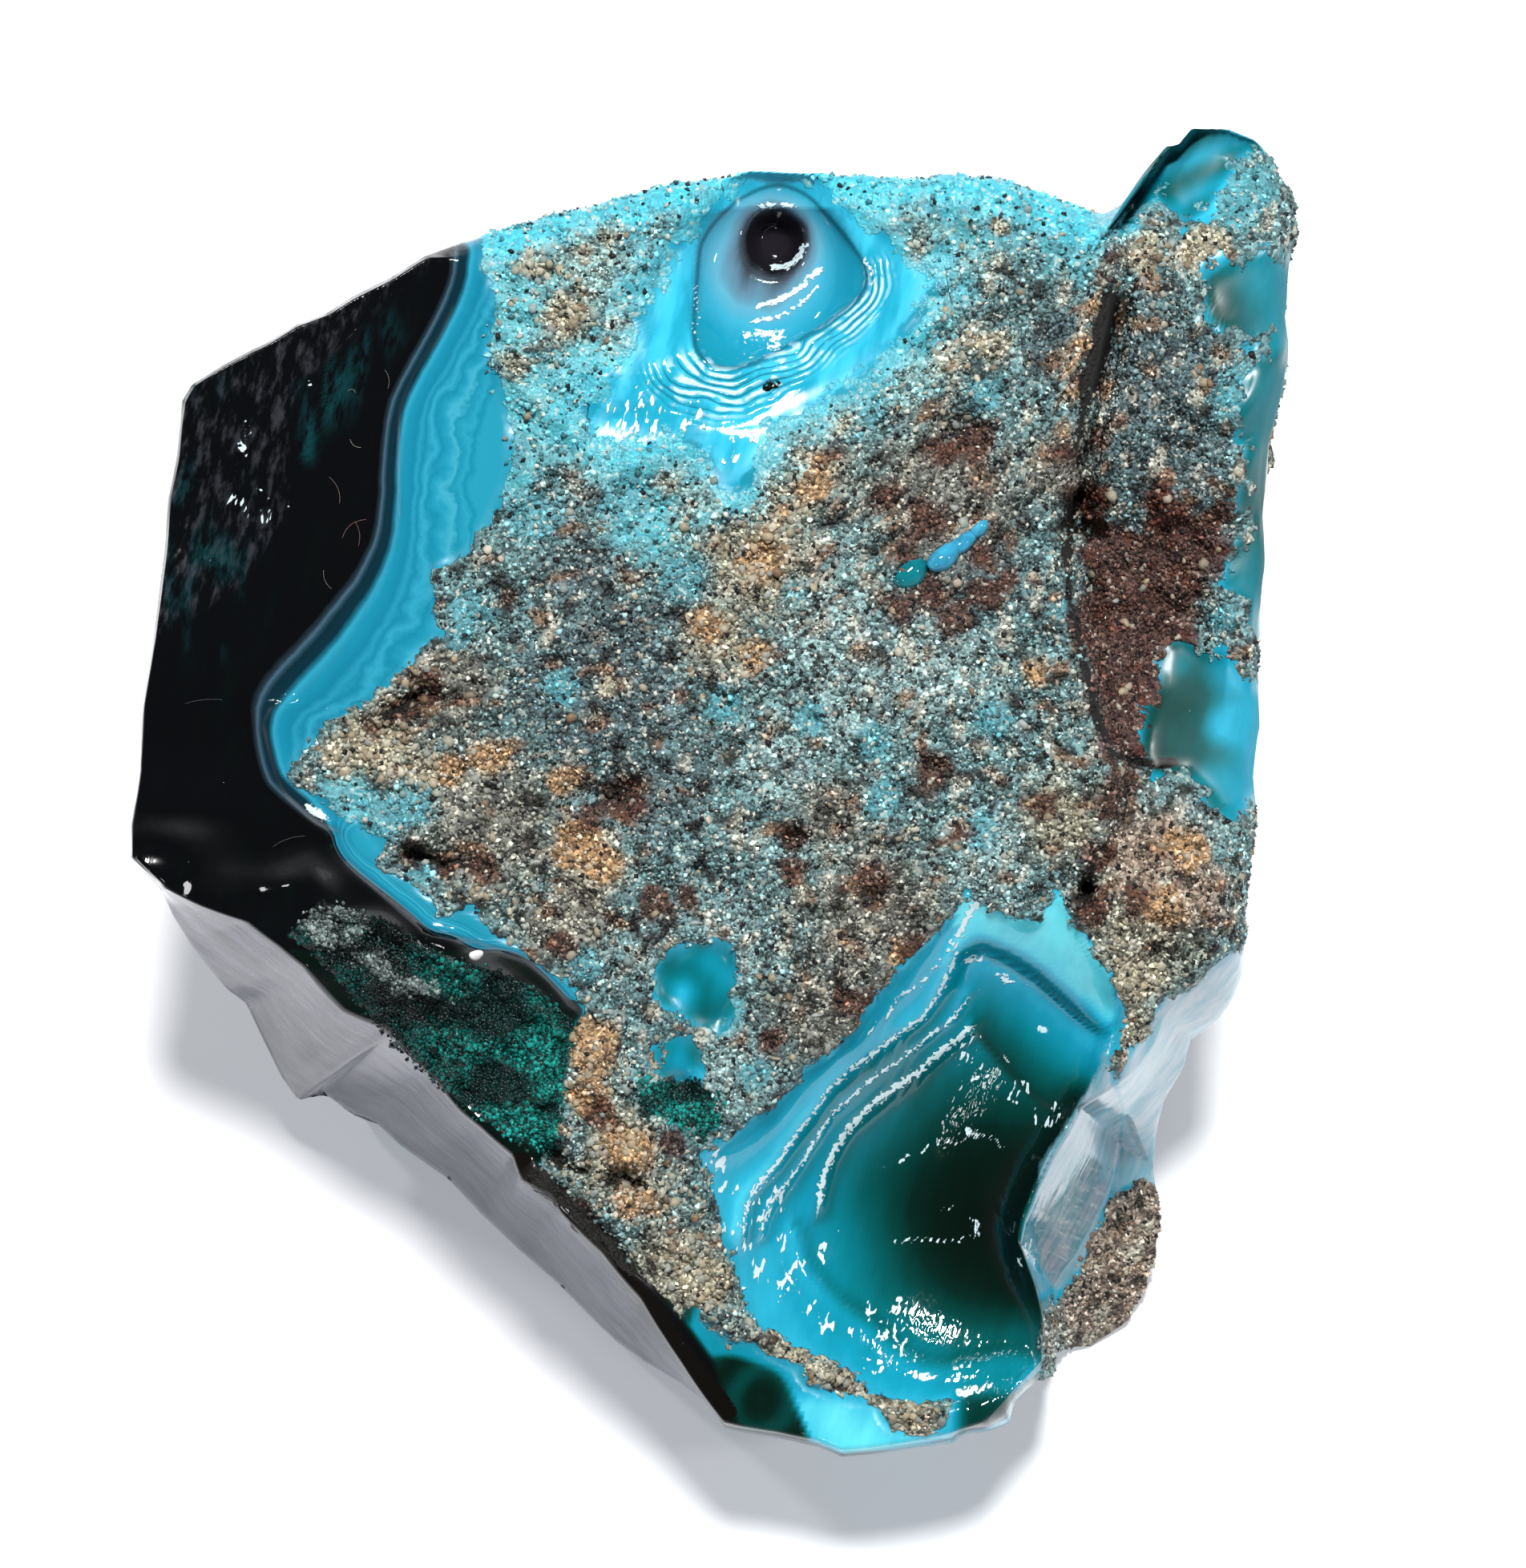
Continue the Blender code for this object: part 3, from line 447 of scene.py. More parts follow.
# Bare glass inside that outline: the smear round the eye, the pockets and the horn on the right,
# two patches, and a small cavity beside them.
SMEAR = [
    (2.9, 46.5), (1, 44.8), (-1.2, 42.1), (-2.2, 41.1), (-3.6, 39.3), (-4.8, 36.9), (-5.4, 35.1),
    (-6.5, 32.9), (-7.8, 29.8), (-9.3, 27.9), (-9, 26.4), (-5.4, 26), (-1.7, 26), (-0.1, 24.7), (0.5, 22.5),
    (1.6, 22.5), (3.2, 24.4), (4.5, 27.1), (7.7, 28.7), (10.4, 30.5), (13.1, 32.9), (16.8, 38.3),
    (14.4, 39.9), (11.8, 42.1), (8, 44.8), (6.4, 46.5),
]
POCKET_UPPER = [
    (36.9, 38.4), (38.4, 39.3), (39.3, 40), (41.4, 40.4), (46, 40.8), (46, 32.7), (42, 32.6), (41.1, 33.4),
    (39, 33.9), (37.5, 35.1), (36.8, 36.9),
]
MARGIN_RIGHT = [
    (46, 33.3), (42, 32.7), (40.8, 32.1), (39.6, 30.3), (39.1, 27.3), (39.8, 25.5), (39.6, 23.1),
    (39.4, 20.7), (40, 19.8), (38.8, 17.7), (38.4, 15.3), (39.6, 13.5), (40.3, 11.7), (46, 11.7),
]
POCKET_LOWER = [
    (33.9, 10.8), (35.4, 11.2), (37.2, 10.2), (39, 9.8), (40.2, 8.1), (46, 7.5), (46, -0.9), (40, -1.2),
    (39, -2.1), (37.5, -1.6), (36.6, 0), (35.4, 1.2), (33, 1.4), (32.1, 2.7), (32.5, 6.3), (33.6, 8.1),
]
HORN_GLASS = [
    (31.4, 42.3), (32.1, 43.4), (33, 44.7), (33.6, 44.1), (34.3, 43.3), (35.4, 42.7), (36.6, 43.4),
    (37.3, 44.1), (37.8, 45), (38.7, 46.2), (39.3, 47.4), (40.3, 48.2), (41.5, 47.6), (43.2, 52),
    (35.4, 52), (32.1, 50), (29.8, 45.6), (29.6, 42.8),
]
PATCH_ONE = [
    (-4.5, -13.8), (-3, -12), (-0.6, -11.2), (1.5, -11.7), (2.1, -14.4), (1.5, -17.1), (0, -18.3),
    (-2.4, -16.6), (-4.2, -15.9),
]
CAVITY = [
    (-5.6, -21.8), (-3.6, -22.3), (-1.4, -22), (0.2, -23), (0.3, -25), (-0.9, -26.2), (-2.2, -25.2),
    (-4, -24.4), (-5.4, -24.6),
]
PATCH_TWO = [
    (-5.1, -20.7), (-3.6, -18.3), (-2.4, -18), (-0.9, -19.5), (-0.6, -21.3), (-2.4, -22), (-4.2, -21.8),
]
# Sand beyond the outline: the ledge below the thin glass side, and a strip under the hollow's lip.
LEDGE = [
    (29.7, -30.9), (30.6, -29.7), (32.1, -29.1), (33, -29.8), (36, -30.9), (36, -34.5), (35, -39.3),
    (31.6, -43.3), (27, -45), (25.5, -46), (24.3, -45.8), (24.5, -42.3), (24.6, -39.9), (25.8, -37.6),
    (27.4, -35.7), (29.2, -31.8),
]
LIP_SAND = [
    (3, -40.8), (4.2, -40.7), (5.7, -41.7), (7.3, -42.2), (9, -43), (10.2, -43.8), (11.7, -45),
    (12.6, -45.6), (15, -45.9), (17.4, -46), (17.6, -47.1), (16.2, -48.3), (14.4, -48.4), (13.2, -47.6),
    (12.3, -46), (9.6, -45.4), (7.2, -44.5), (6.3, -43.2), (3.6, -41.8),
]
# The line where the turquoise skin ends against the black glass, from the top down.
PALE_LINE = [
    (-19.4, 40.1), (-19.6, 38.3), (-20.3, 36.4), (-21.7, 33.7), (-23.3, 31), (-24.4, 28.4), (-24.8, 24.9),
    (-24.9, 21.7), (-25.2, 19), (-26.5, 16.3), (-28.1, 14.2), (-30.2, 11.5), (-33.2, 8.5), (-34.3, 6.4),
    (-34.3, 4.9), (-34.1, 3.1), (-33.5, 0.7), (-32.4, -0.4), (-30.2, -2.3), (-28.7, -3.1), (-28.3, -4.7),
    (-27.1, -6.1), (-25.4, -7.4), (-23.3, -9), (-21.2, -10.9), (-19.6, -11.1), (-17.9, -12.2),
    (-15.8, -12.2), (-14.2, -12.7), (-12.6, -14.1), (-10.4, -16.5),
]
# The rounded triangle of the eye's bowl, and the sharp crease on the hollow's upper shelf.
BOWL = [
    (-1.2, 40.6), (-0.5, 42), (0.8, 43.5), (2.4, 44.7), (4.2, 45.4), (5.8, 45.3), (7.4, 44.4), (9, 42.7),
    (10.4, 40.9), (11.3, 39.6), (11.7, 38.4), (11.5, 37.3), (10.6, 36.3), (9.2, 35.2), (7.6, 34.1),
    (5.8, 33.1), (4, 32.2), (2.4, 31.5), (1, 31.3), (-0.3, 31.7), (-1.3, 32.5), (-1.7, 33.8), (-1.6, 35.6),
    (-1.4, 37.6), (-1.3, 39.3),
]
SHELF_CREASE = [
    (18.6, -12.4), (20, -11.6), (22, -12.4), (24, -13.6), (25.5, -14.9), (27, -16.3), (28.4, -17.5),
    (30, -18.7),
]
# The sharp left edge of the facet below that crease.
FACET_EDGE = [
    (19, -12.8), (19, -16), (19.2, -17.8), (20.2, -19.3), (21.2, -20.4), (22, -21.4), (23.6, -23),
    (25.4, -24.2),
]
# The sugary green zone, and the pale streak across it.
SUGAR_ZONE = [
    (-31.5, -10.8), (-29.4, -8.6), (-26.4, -9.3), (-23.4, -10.8), (-19.8, -12.9), (-16.2, -13.8),
    (-13.5, -15), (-11.1, -17), (-10.5, -18),
] + SUGAR_EDGE[2:5] + [
    (-14.4, -26.4), (-17.4, -24.4), (-20.4, -21.9), (-23.4, -18.9), (-27, -15.3), (-29.4, -12.6),
]
PALE_SUGAR = [
    (-30, -9.4), (-27.6, -9.7), (-27, -11.6), (-25.6, -12.4), (-24.2, -13.9), (-21.6, -15),
]
# Glass at the foot of the face: a dark green lobe, the black edge beside it, a green chip.
GREEN_LOBE = [
    (-1.1, -42.9), (0.6, -42.3), (3, -42.9), (5.1, -43.8), (6, -45.9), (6.9, -48.3), (7.8, -51), (1.8, -51),
    (0, -46.5),
]
BLACK_EDGE = [
    (-6, -34.5), (-3.6, -38.1), (-1.7, -40.5), (0, -42.9), (0.9, -45.9), (2.1, -48), (2.1, -51),
    (-0.6, -48.3), (-3.6, -42.9), (-6.6, -36.9),
]
GREEN_CHIP = [
    (-4.2, -36.3), (-2.4, -36.9), (-1.4, -38.7), (-1.8, -39.9), (-3.3, -39.9), (-4.1, -38.4),
]
# The two pale facets at the lower right, outside the thin glass side.
FACET_FRONT = [
    (29.4, -18.9), (29.8, -21.9), (30.6, -23.7), (30.4, -27.3), (29.2, -30.9), (27.4, -35.7), (25.8, -37.6),
    (24.6, -36.3), (24, -32.7), (24.5, -27.9), (25.8, -26.1), (27.3, -23.7), (28.7, -21.3),
]
FACET_SIDE = [
    (39.7, -11.6), (44, -12.9), (42, -17.5), (38, -20), (36.5, -22.5), (35.2, -27.3), (35.2, -29.7),
] + LEDGE[3::-1] + [(30.5, -27.3), (30.7, -23.7)] + CRUST_RIGHT[23:29]
# Small pits in the crust: a, b, radius, depth.
SMALL_PITS = [
    (-21.6, 6.9, 1.6, 1.5), (6, -3.9, 1.5, 1.2), (16.5, 1.2, 1.8, 1.3), (-1.2, -6.3, 1.3, 1),
    (9.3, -3.6, 1.3, 1.1), (27.9, -7.5, 1.1, 2.4), (-2.6, -22.6, 1.8, 1.2), (-12, -27.4, 1.6, 1.8),
    (-6.9, -29, 1.7, 1.6), (28.4, 19.2, 1.5, 2.2), (-18.5, -5.6, 1.2, 0.9), (-23, -4.8, 1.1, 0.8),
]
# Crests of the three long folds down the hollow's sandy side, and of a fourth round its foot.
FOLD_LINES = [
    [(18.2, -12.2), (17.6, -13.8), (17, -15), (16.2, -16.5), (15, -17.6), (13.5, -18.6), (12, -19.8),
        (10.5, -20.8), (9.4, -21.8), (8.5, -22.6), (8, -23.6), (7, -24.8), (5.8, -26.4), (4.8, -28),
        (3.5, -29.5), (2.6, -30.6), (2.2, -33)],
    [(18.8, -16), (17.6, -17.5), (16.5, -18.2), (15, -19.4), (13.5, -20.6), (12, -21.6), (10.5, -22.9),
        (9, -24.2), (8, -25.6), (7.2, -27), (6.3, -28.4), (5.4, -29.6), (4.2, -31), (3.6, -33)],
    [(19.2, -18), (18, -18.8), (16.6, -20), (15.2, -21.2), (13.8, -22.2), (12.3, -23.3), (11, -24.4),
        (10.1, -25.4), (9.4, -26.4), (8.8, -27.6), (8.3, -28.6), (8, -30), (7.9, -31.4)],
    [(6.2, -33.4), (6.8, -35.6), (8.2, -37.6), (10, -39.2), (12.2, -40.6), (14, -42.6), (16.6, -43.6),
        (19.6, -43), (22, -42.3), (24.4, -42.9)],
]
# Where the broken glass on the left turns down again towards its rim, from the top to the left.
LEFT_BEND = [
    (-19.8, 39.9), (-25.5, 35.4), (-30.3, 30.3), (-31.4, 25.5), (-31.6, 20.1), (-35, 15.2), (-41.4, 11.1),
]
# Chips and arcs with painted highlights where the glass would catch the light: half a width, then points.
GLINTS = [
    (0.24, [(4.4, 39.1), (5.6, 39.2), (6.4, 39.9), (6.9, 40.8)]),
    (0.18, [(3.4, 43.6), (4.8, 43.9), (6, 43.6)]), (0.22, [(3, 36.1), (5, 36.6), (6.6, 37.7), (7.8, 39)]),
    (0.28, [(7, 38.2), (7.9, 38.9)]), (0.17, [(2.8, 35.1), (4.6, 35.3), (6, 36), (7, 36.8), (7.8, 37.7)]),
    (0.17, [(2.2, 34.1), (5.2, 34.3)]), (0.18, [(2.2, 33.2), (4, 33.4), (5.6, 34)]),
    (0.17, [(2, 32.4), (3.8, 32.7), (5, 33.2)]), (0.16, [(-1.4, 37.6), (-1.2, 35.6), (-1.3, 33.6)]),
    (0.2, [(11.2, 39.8), (11.9, 38.8), (11.9, 37.7)]), (0.3, [(-30.4, -1.3), (-28.9, -2.3)]),
    (0.16, [(-35, 27.4), (-34.8, 26.8)]), (0.26, [(-35.4, 26), (-35.1, 25.2)]),
    (0.08, [(-30.3, 31), (-30.2, 29.6)]), (0.06, [(-34.2, 22.6), (-33.2, 21.8)]),
    (0.06, [(-31.9, 22.4), (-31.9, 20.8)]),
    (0.14, [(19.4, -8.4), (18.2, -11), (17, -12.9), (15.4, -14.7), (14, -15.4), (13, -17), (10, -19.6)]),
    (0.18, [(18.6, -24.2), (19.2, -25.2), (20.2, -26)]), (0.28, [(18.9, -12.9), (20, -12.6)]),
    (0.3, [(21.4, -13.9), (22.2, -14.4)]),
    (0.17, [(12.2, -28.9), (13.5, -28), (15, -27.3), (16.5, -26.6), (18, -26.1), (19.5, -25.9),
        (21, -26.2), (21.8, -27)]),
    (0.17, [(13.4, -33.9), (15, -33.7), (17, -33.8), (18.6, -33.7), (20, -33.3)]),
    (0.2, [(17, -31.4), (18, -31.3)]), (0.26, [(19.4, -32.2), (19.8, -33)]),
    (0.26, [(22.8, -35.6), (24, -35.4)]), (0.26, [(23.2, -34.6), (23.8, -33.8)]),
    (0.22, [(18, -43.3), (19.2, -43)]), (0.36, [(18.4, -45.2), (20.6, -44.7)]),
    (0.3, [(19.8, -8.4), (18.9, -9.6), (18.4, -11)]), (0.24, [(29.2, -11.6), (30.3, -13.6), (30.5, -15.6)]),
]
# Where such painted highlights crowd together: a, b, radius.
GLINT_CLUSTERS = [
    (-6.6, 27.2, 1.9), (-4.2, 27, 1.8), (-1.4, 28, 1.5), (-7.8, 28.4, 1.2), (-5.6, 28.8, 1.6),
    (2.6, 26.4, 1.2), (1.4, 24.6, 1.1), (-2.4, 26.6, 1.2), (13.2, -40.6, 1.7), (12.4, -42.8, 1.3),
    (11.8, -39, 1), (4.6, -30.8, 1.7), (3, -31.8, 1.3), (2.4, -34.6, 1.1), (3.4, -36, 1),
    (6.6, -35.6, 0.9), (5.2, -37.2, 1.1), (7.2, -38.6, 1), (8.6, -40.2, 1), (8.2, -34.2, 0.8),
    (0.4, -28, 1.4), (1, -30, 1), (0.6, -33.2, 1), (5, -34, 1), (10.6, -40.8, 0.8),
    (15, -42.6, 0.6), (19, -19.2, 1.4), (19.6, -21, 1.4), (22.9, -22.4, 1.2), (25.1, -24.5, 1.4),
    (14.2, -41.4, 1.5), (13.6, -38.6, 1), (18, -11.6, 0.9), (16.9, -13.4, 0.8), (-35.6, 21.6, 0.9),
    (-33.4, 20.4, 0.8), (9.6, -33.2, 0.5),
]
# Where the hollow's glass is crazed with fine cracks: a, b, radius.
CRAZED = [
    (16.3, -40.2, 2.8), (19.7, -22.9, 2.4), (18.6, -25.6, 1.8), (13, -41.6, 2.4), (19.4, -42.6, 2),
    (22.6, -43.6, 1.6),
]
# Streaks of the black glass that let some teal through: half a width, then points.
TEAL_WINDOWS = [
    (2, [(-26, 34), (-28, 32.4), (-28.6, 30.4)]), (1.2, [(-28.8, 29.6), (-29.6, 27.8)]),
    (0.7, [(-30, 27), (-30.6, 25)]), (2, [(-38.6, 17.4), (-37, 17)]),
    (2.4, [(-38.8, 14.6), (-37.4, 13.8)]), (1.4, [(-39.6, 12), (-38, 11.4)]),
    (1, [(-39.9, 24), (-39.6, 22)]), (0.9, [(-38.2, 30.3), (-37.8, 29.8)]),
]
# Black slots, painted shadow in the open crack, under the overhang below it, in a tear hole and in pits.
SHADOW_SLOTS = [
    (0.85, [(29.7, 36.6), (28.9, 33), (28, 30)]), (0.4, [(28, 30), (27.4, 26.8), (27.2, 24.2)]),
    (0.55, [(27.2, 22), (26.6, 20.6), (26.4, 17.6)]),
    (0.4, [(26.4, 17.6), (26.6, 14.6), (27.6, 10), (28.8, 5.3), (29.9, 2.4)]),
    (0.4, [(29.9, 2.4), (32, 1.9), (34.4, 2)]), (0.3, [(28.5, -4.7), (28.1, -6.4)]),
    (0.55, [(28, -6.8), (27.9, -7.9)]),
    # Black too along the chipped edge over the cliff.
    (0.9, [(-14.4, -28), (-10.4, -31.6), (-7.6, -34.6), (-4.2, -39.8), (-1.2, -44), (0.9, -46.6)]),
    (0.35, [(-12.6, -26.6), (-11.4, -28.2), (-9.6, -28.6)]), (0.3, [(-6.9, -28.8), (-5.4, -29.6)]),
    (0.5, [(-24.8, 5.2), (-22.6, 6.8)]), (0.42, [(4, 30.3), (4.8, 30.3)]),
    (0.4, [(-22.6, -4.7), (-20.4, -5.6)]),
]


def stroke_reach(strokes, a, b):
    """How far inside any stroke a point lies: half the stroke's width less the distance to its line."""
    return np.maximum.reduce([half - distance_to(line, a, b)[0] for half, line in strokes])


def signed(loop, a, b):
    """Distance to a closed outline in millimetres, positive inside it and negative outside."""
    away = distance_to(loop + loop[:1], a, b)[0]
    return np.where(inside(loop, a, b), away, -away)


def signed_any(loops, a, b):
    """The same for several outlines at once: the most that a point lies inside any of them."""
    return np.maximum.reduce([signed(loop, a, b) for loop in loops])


def blend_to(now, wanted, share):
    """now where share is 0, wanted where it is 1."""
    return now + (wanted - now) * share


def eased(line, closed=False):
    """The line with each corner cut off: points a quarter of the way in from both ends of each piece."""
    line = line + line[:1] if closed else line
    cut = []
    for (ax, ay), (bx, by) in zip(line, line[1:]):
        cut += [((3 * ax + bx) / 4, (3 * ay + by) / 4), ((ax + 3 * bx) / 4, (ay + 3 * by) / 4)]
    return cut if closed else line[:1] + cut + line[-1:]


BOWL, GREEN_LOBE = [eased(eased(loop, True), True) for loop in (BOWL, GREEN_LOBE)]
PATCH_ONE, PATCH_TWO = [eased(loop, True) for loop in (PATCH_ONE, PATCH_TWO)]
PALE_LINE = eased(PALE_LINE)
FOLD_LINES = [eased(line) for line in FOLD_LINES]


def off_line(line, a, b):
    """Distance from a line in millimetres, positive to its left and negative to its right."""
    away, side = distance_to(line, a, b)
    return away * side


def soft_spots(spots, a, b):
    """Round soft spots, 1 in the middle of each: the strongest of exp(-(distance / radius)^2)."""
    strongest = np.zeros_like(a)
    for spot_a, spot_b, radius in spots:
        strongest = np.maximum(strongest, np.exp(-((a - spot_a) ** 2 + (b - spot_b) ** 2) / radius ** 2))
    return strongest


def skin_reach(a, b):
    """How far a point of the skin on the left lies from the black glass; negative on the black."""
    line, side = distance_to(PALE_LINE, a, b)
    reach = np.where(side > 0, line, -line)
    return np.where((a < -30) & (b > 20), -9, reach)


def crust_reach(a, b):
    """How far inside the sandy crust a point is, in millimetres; negative on bare glass."""
    reach = signed(CRUST_LEFT + CRUST_RIGHT, a, b)
    for bare, soft in ((SMEAR, 0.5), (POCKET_UPPER, 0.4), (MARGIN_RIGHT, 0.5), (POCKET_LOWER, 0.6),
                       (HORN_GLASS, 0.4), (PATCH_ONE, 0.6), (PATCH_TWO, 0.6), (CAVITY, 1)):
        reach = np.minimum(reach, -soft * signed(bare, a, b))
    return np.maximum(reach, signed_any((LEDGE, LIP_SAND), a, b))


def ridges(distance, places, heights, width):
    """Rounded ridges across a distance: the sum of height / cosh^2 of the way from each place."""
    total = np.zeros_like(distance)
    for place, height in zip(places, heights):
        total += height / np.cosh(np.clip((distance - place) / width, -20, 20)) ** 2
    return total


def face_detail(a, b):
    """Small relief of the face in millimetres: grit and pits in the crust, folds in the glass."""
    flat = on_plane(a, b)
    sandy = rise(-0.3, 0.8, crust_reach(a, b))
    lift = sandy * (0.26 * ripple(flat, 8, 4) + 0.32 * ripple(flat, 3.2, 11)
                    + 0.22 * ripple(flat, 1.7, 12) + 0.3)
    lift -= dents(SMALL_PITS, a, b)
    lift -= sandy * 0.9 * rise(-0.5, 0.2, stroke_reach(SHADOW_SLOTS, a, b))

    # The hollow: long folds that drop on their inner side, its shelf's crease, its facet, and chips.
    within = rise(0.2, 1, signed(HOLLOW, a, b))
    for line, height in zip(FOLD_LINES, (0.55, 0.45, 0.5, 0.4)):
        off = off_line(line, a, b) + 0.1 * ripple(flat, 3, 19)
        lift += within * height * np.exp(-(off / np.where(off > 0, 0.4, 1.1)) ** 2)
    crease, side = distance_to(SHELF_CREASE, a, b)
    below = np.where(side < 0, crease, -crease)
    lift -= within * 0.9 * rise(17.5, 19.5, a) * rise(0, 0.5, below) * rise(8, 1, below)
    facet = off_line(FACET_EDGE, a, b)
    on_facet = rise(0, 0.5, facet) * rise(5, 0.5, facet)
    lift += within * 0.2 * on_facet * rise(0, 2, below)
    chips = np.exp(-(off_line(HOLLOW_RIGHT[2:9], a, b) / 1.4) ** 2)
    lift += within * chips * 0.35 * np.abs(ripple(flat, 3, 15))

    # The eye: a step down into its bowl, and broad folds that ring its lower side.
    bowl = signed(BOWL, a, b)
    lift -= 0.55 * rise(-0.35, 0.45, bowl)
    ring = -bowl + 0.35 * ripple(flat, 5, 16)
    low = rise(40, 34, b - 0.25 * (a - 4)) * rise(-0.6, 0.4, signed(SMEAR, a, b))
    lift += low * ridges(ring, (0.3, 1.6, 3.2, 4.9), (0.2, 0.18, 0.18, 0.14), 0.45)
    lift -= 0.8 * rise(1, 0.2, np.hypot((a - 4.4) / 0.8, (b - 30.3) / 0.55))

    # The bare skin on the left: low flow lines along the pale line, and a raised bead at its end.
    skin = skin_reach(a, b)
    bare = rise(0.5, -0.3, crust_reach(a, b)) * rise(-8, -10, a)
    lift += bare * ridges(skin, (0.25, 1.9, 3.4, 4.9), (0.26, 0.16, 0.1, 0.1), 0.4)

    # The black glass beside it turns down at its bend, in faint steps.
    bend = np.where(a < -19, -off_line(LEFT_BEND, a, b), 0)
    lift -= 0.1 * np.clip(bend, 0, 9) + 0.12 * rise(0, 0.5, bend)
    lift += rise(0.5, 3, bend) * 0.05 * np.abs(ripple(flat, 3.4, 24))

    # The two bare patches are wrinkled.
    patches = rise(-0.1, 0.6, signed_any((PATCH_ONE, PATCH_TWO), a, b))
    lift += patches * (0.14 * ripple(flat, 3.2, 28) - 0.25)

    # The sugary zone is rough with crystals.
    sugar = rise(-0.4, 1, signed(SUGAR_ZONE, a, b))
    lift += sugar * (0.4 * ripple(flat, 2.6, 17) + 0.25 * ripple(flat, 1.3, 18))

    # The horn and the pockets of the right-hand strip are broken in slanting steps.
    slant = signed_any((HORN_GLASS, POCKET_UPPER, POCKET_LOWER), a, b)
    steps = np.abs(np.sin(math.pi * (b - 0.6 * a + 0.8 * ripple(flat, 6, 26)) / 2.3))
    lift += rise(-0.2, 0.8, slant) * (0.03 * steps + 0.03 * ripple(flat, 3.2, 27) - 0.25)
    return lift


def ringed_quads(grid):
    """The quads between each row of a grid of points and the next, each row closed on itself."""
    after = np.roll(grid, -1, axis=1)
    return np.stack([grid[:-1], after[:-1], after[1:], grid[1:]], -1).reshape(-1, 4)


def lump_surface():
    """The closed surface: points in millimetres, quads and triangles, and what each point is made from.

    The face is a square grid whose square rings are drawn out to the rim's shape. The side is a grid
    of length round the rim by way down from it, with half as many columns as the rim has points.
    """
    steps = np.arange(2 * FACE_RINGS + 1)
    x, y = np.meshgrid(steps / FACE_RINGS - 1, steps / FACE_RINGS - 1, indexing="ij")
    x, y = x.ravel(), y.ravel()
    reach = np.maximum(np.abs(x), np.abs(y))
    safe = np.maximum(reach, 1e-9)
    quarter = np.select([y >= safe - 1e-6, x >= safe - 1e-6, y <= 1e-6 - safe],
                        [(x / safe + 1) / 2, 1 + (1 - y / safe) / 2, 2 + (1 - x / safe) / 2],
                        3 + (y / safe + 1) / 2)
    share = (quarter / 4) % 1
    a, b, c = face_points(share, reach)
    face = to_lump(a, b, c)

    index = np.arange(len(x)).reshape(len(steps), len(steps))
    quads = [np.stack([index[:-1, :-1], index[1:, :-1], index[1:, 1:], index[:-1, 1:]], -1).reshape(-1, 4)]
    edge = np.flatnonzero(reach > 1 - 1e-6)
    rim = edge[np.argsort(share[edge])]

    columns = len(rim) // 2
    side_share = np.tile(share[rim[::2]], SIDE_ROWS)
    down = np.repeat((np.arange(1, SIDE_ROWS + 1) / SIDE_ROWS) ** 1.1, columns)
    side = break_sides(wall(side_share, down), down)
    grid = len(x) + np.arange(SIDE_ROWS * columns).reshape(SIDE_ROWS, columns)
    quads.append(ringed_quads(grid))
    one, two, three = rim[::2], rim[1::2], np.roll(rim[::2], -1)
    under, after = grid[0], np.roll(grid[0], -1)
    triangles = np.concatenate([np.stack([one, two, under], -1), np.stack([two, three, after], -1),
                                np.stack([two, after, under], -1)])

    points = np.concatenate([face, side])
    rim_a, rim_b, _ = rim_at(side_share).T
    drawn = np.stack([np.concatenate([a, rim_a]), np.concatenate([b, rim_b])], -1)
    way_down = np.concatenate([np.zeros(len(x)), down])
    turned = np.concatenate([rise(CREST_RING / FACE_RINGS, 1, reach), np.ones(len(side))])
    return points, np.concatenate(quads), triangles, grid[-1], drawn, way_down, turned


def normals_of(points, quads, triangles):
    """The normal at each point: the sum of its faces' normals, each as long as its face is large."""
    total = np.zeros_like(points)
    for faces, ends in ((quads, (0, 2, 1, 3)), (triangles, (0, 1, 0, 2))):
        p = points[faces]
        across = np.cross(p[:, ends[1]] - p[:, ends[0]], p[:, ends[3]] - p[:, ends[2]])
        for corner in faces.T:
            for k in range(3):
                total[:, k] += np.bincount(corner, across[:, k], len(points))
    return total / np.maximum(np.linalg.norm(total, axis=1), 1e-12)[:, None]


points, quads, triangles, foot, drawn, way_down, turned = lump_surface()
normals = normals_of(points, quads, triangles)
on_side = turned * (0.3 + 0.7 * rise(0, 0.12, way_down))

# Fresh breaks in glass are shelled with faint ripples round the point of each blow.
BLOWS = [
    ((-52, 20, 40), 3.6, 0.16), ((-10, 62, 48), 4.4, 0.2), ((52, 30, 30), 3.8, 0.18),
    ((-30, -46, 16), 3.2, 0.14), ((30, -50, 34), 3, 0.14), ((48, -14, 52), 4, 0.15),
]
relief = np.zeros(len(points))
for place, apart, height in BLOWS:
    away = np.linalg.norm(points - place, axis=1) + 0.8 * ripple(points, 24, 31)
    near = rise(46, 14, away)
    relief += height * near * (1 - np.abs(np.sin(math.pi * away / apart))) ** 1.5
relief += 0.25 * np.abs(ripple(points, 12, 32)) + 0.06 * ripple(points, 3.5, 33)

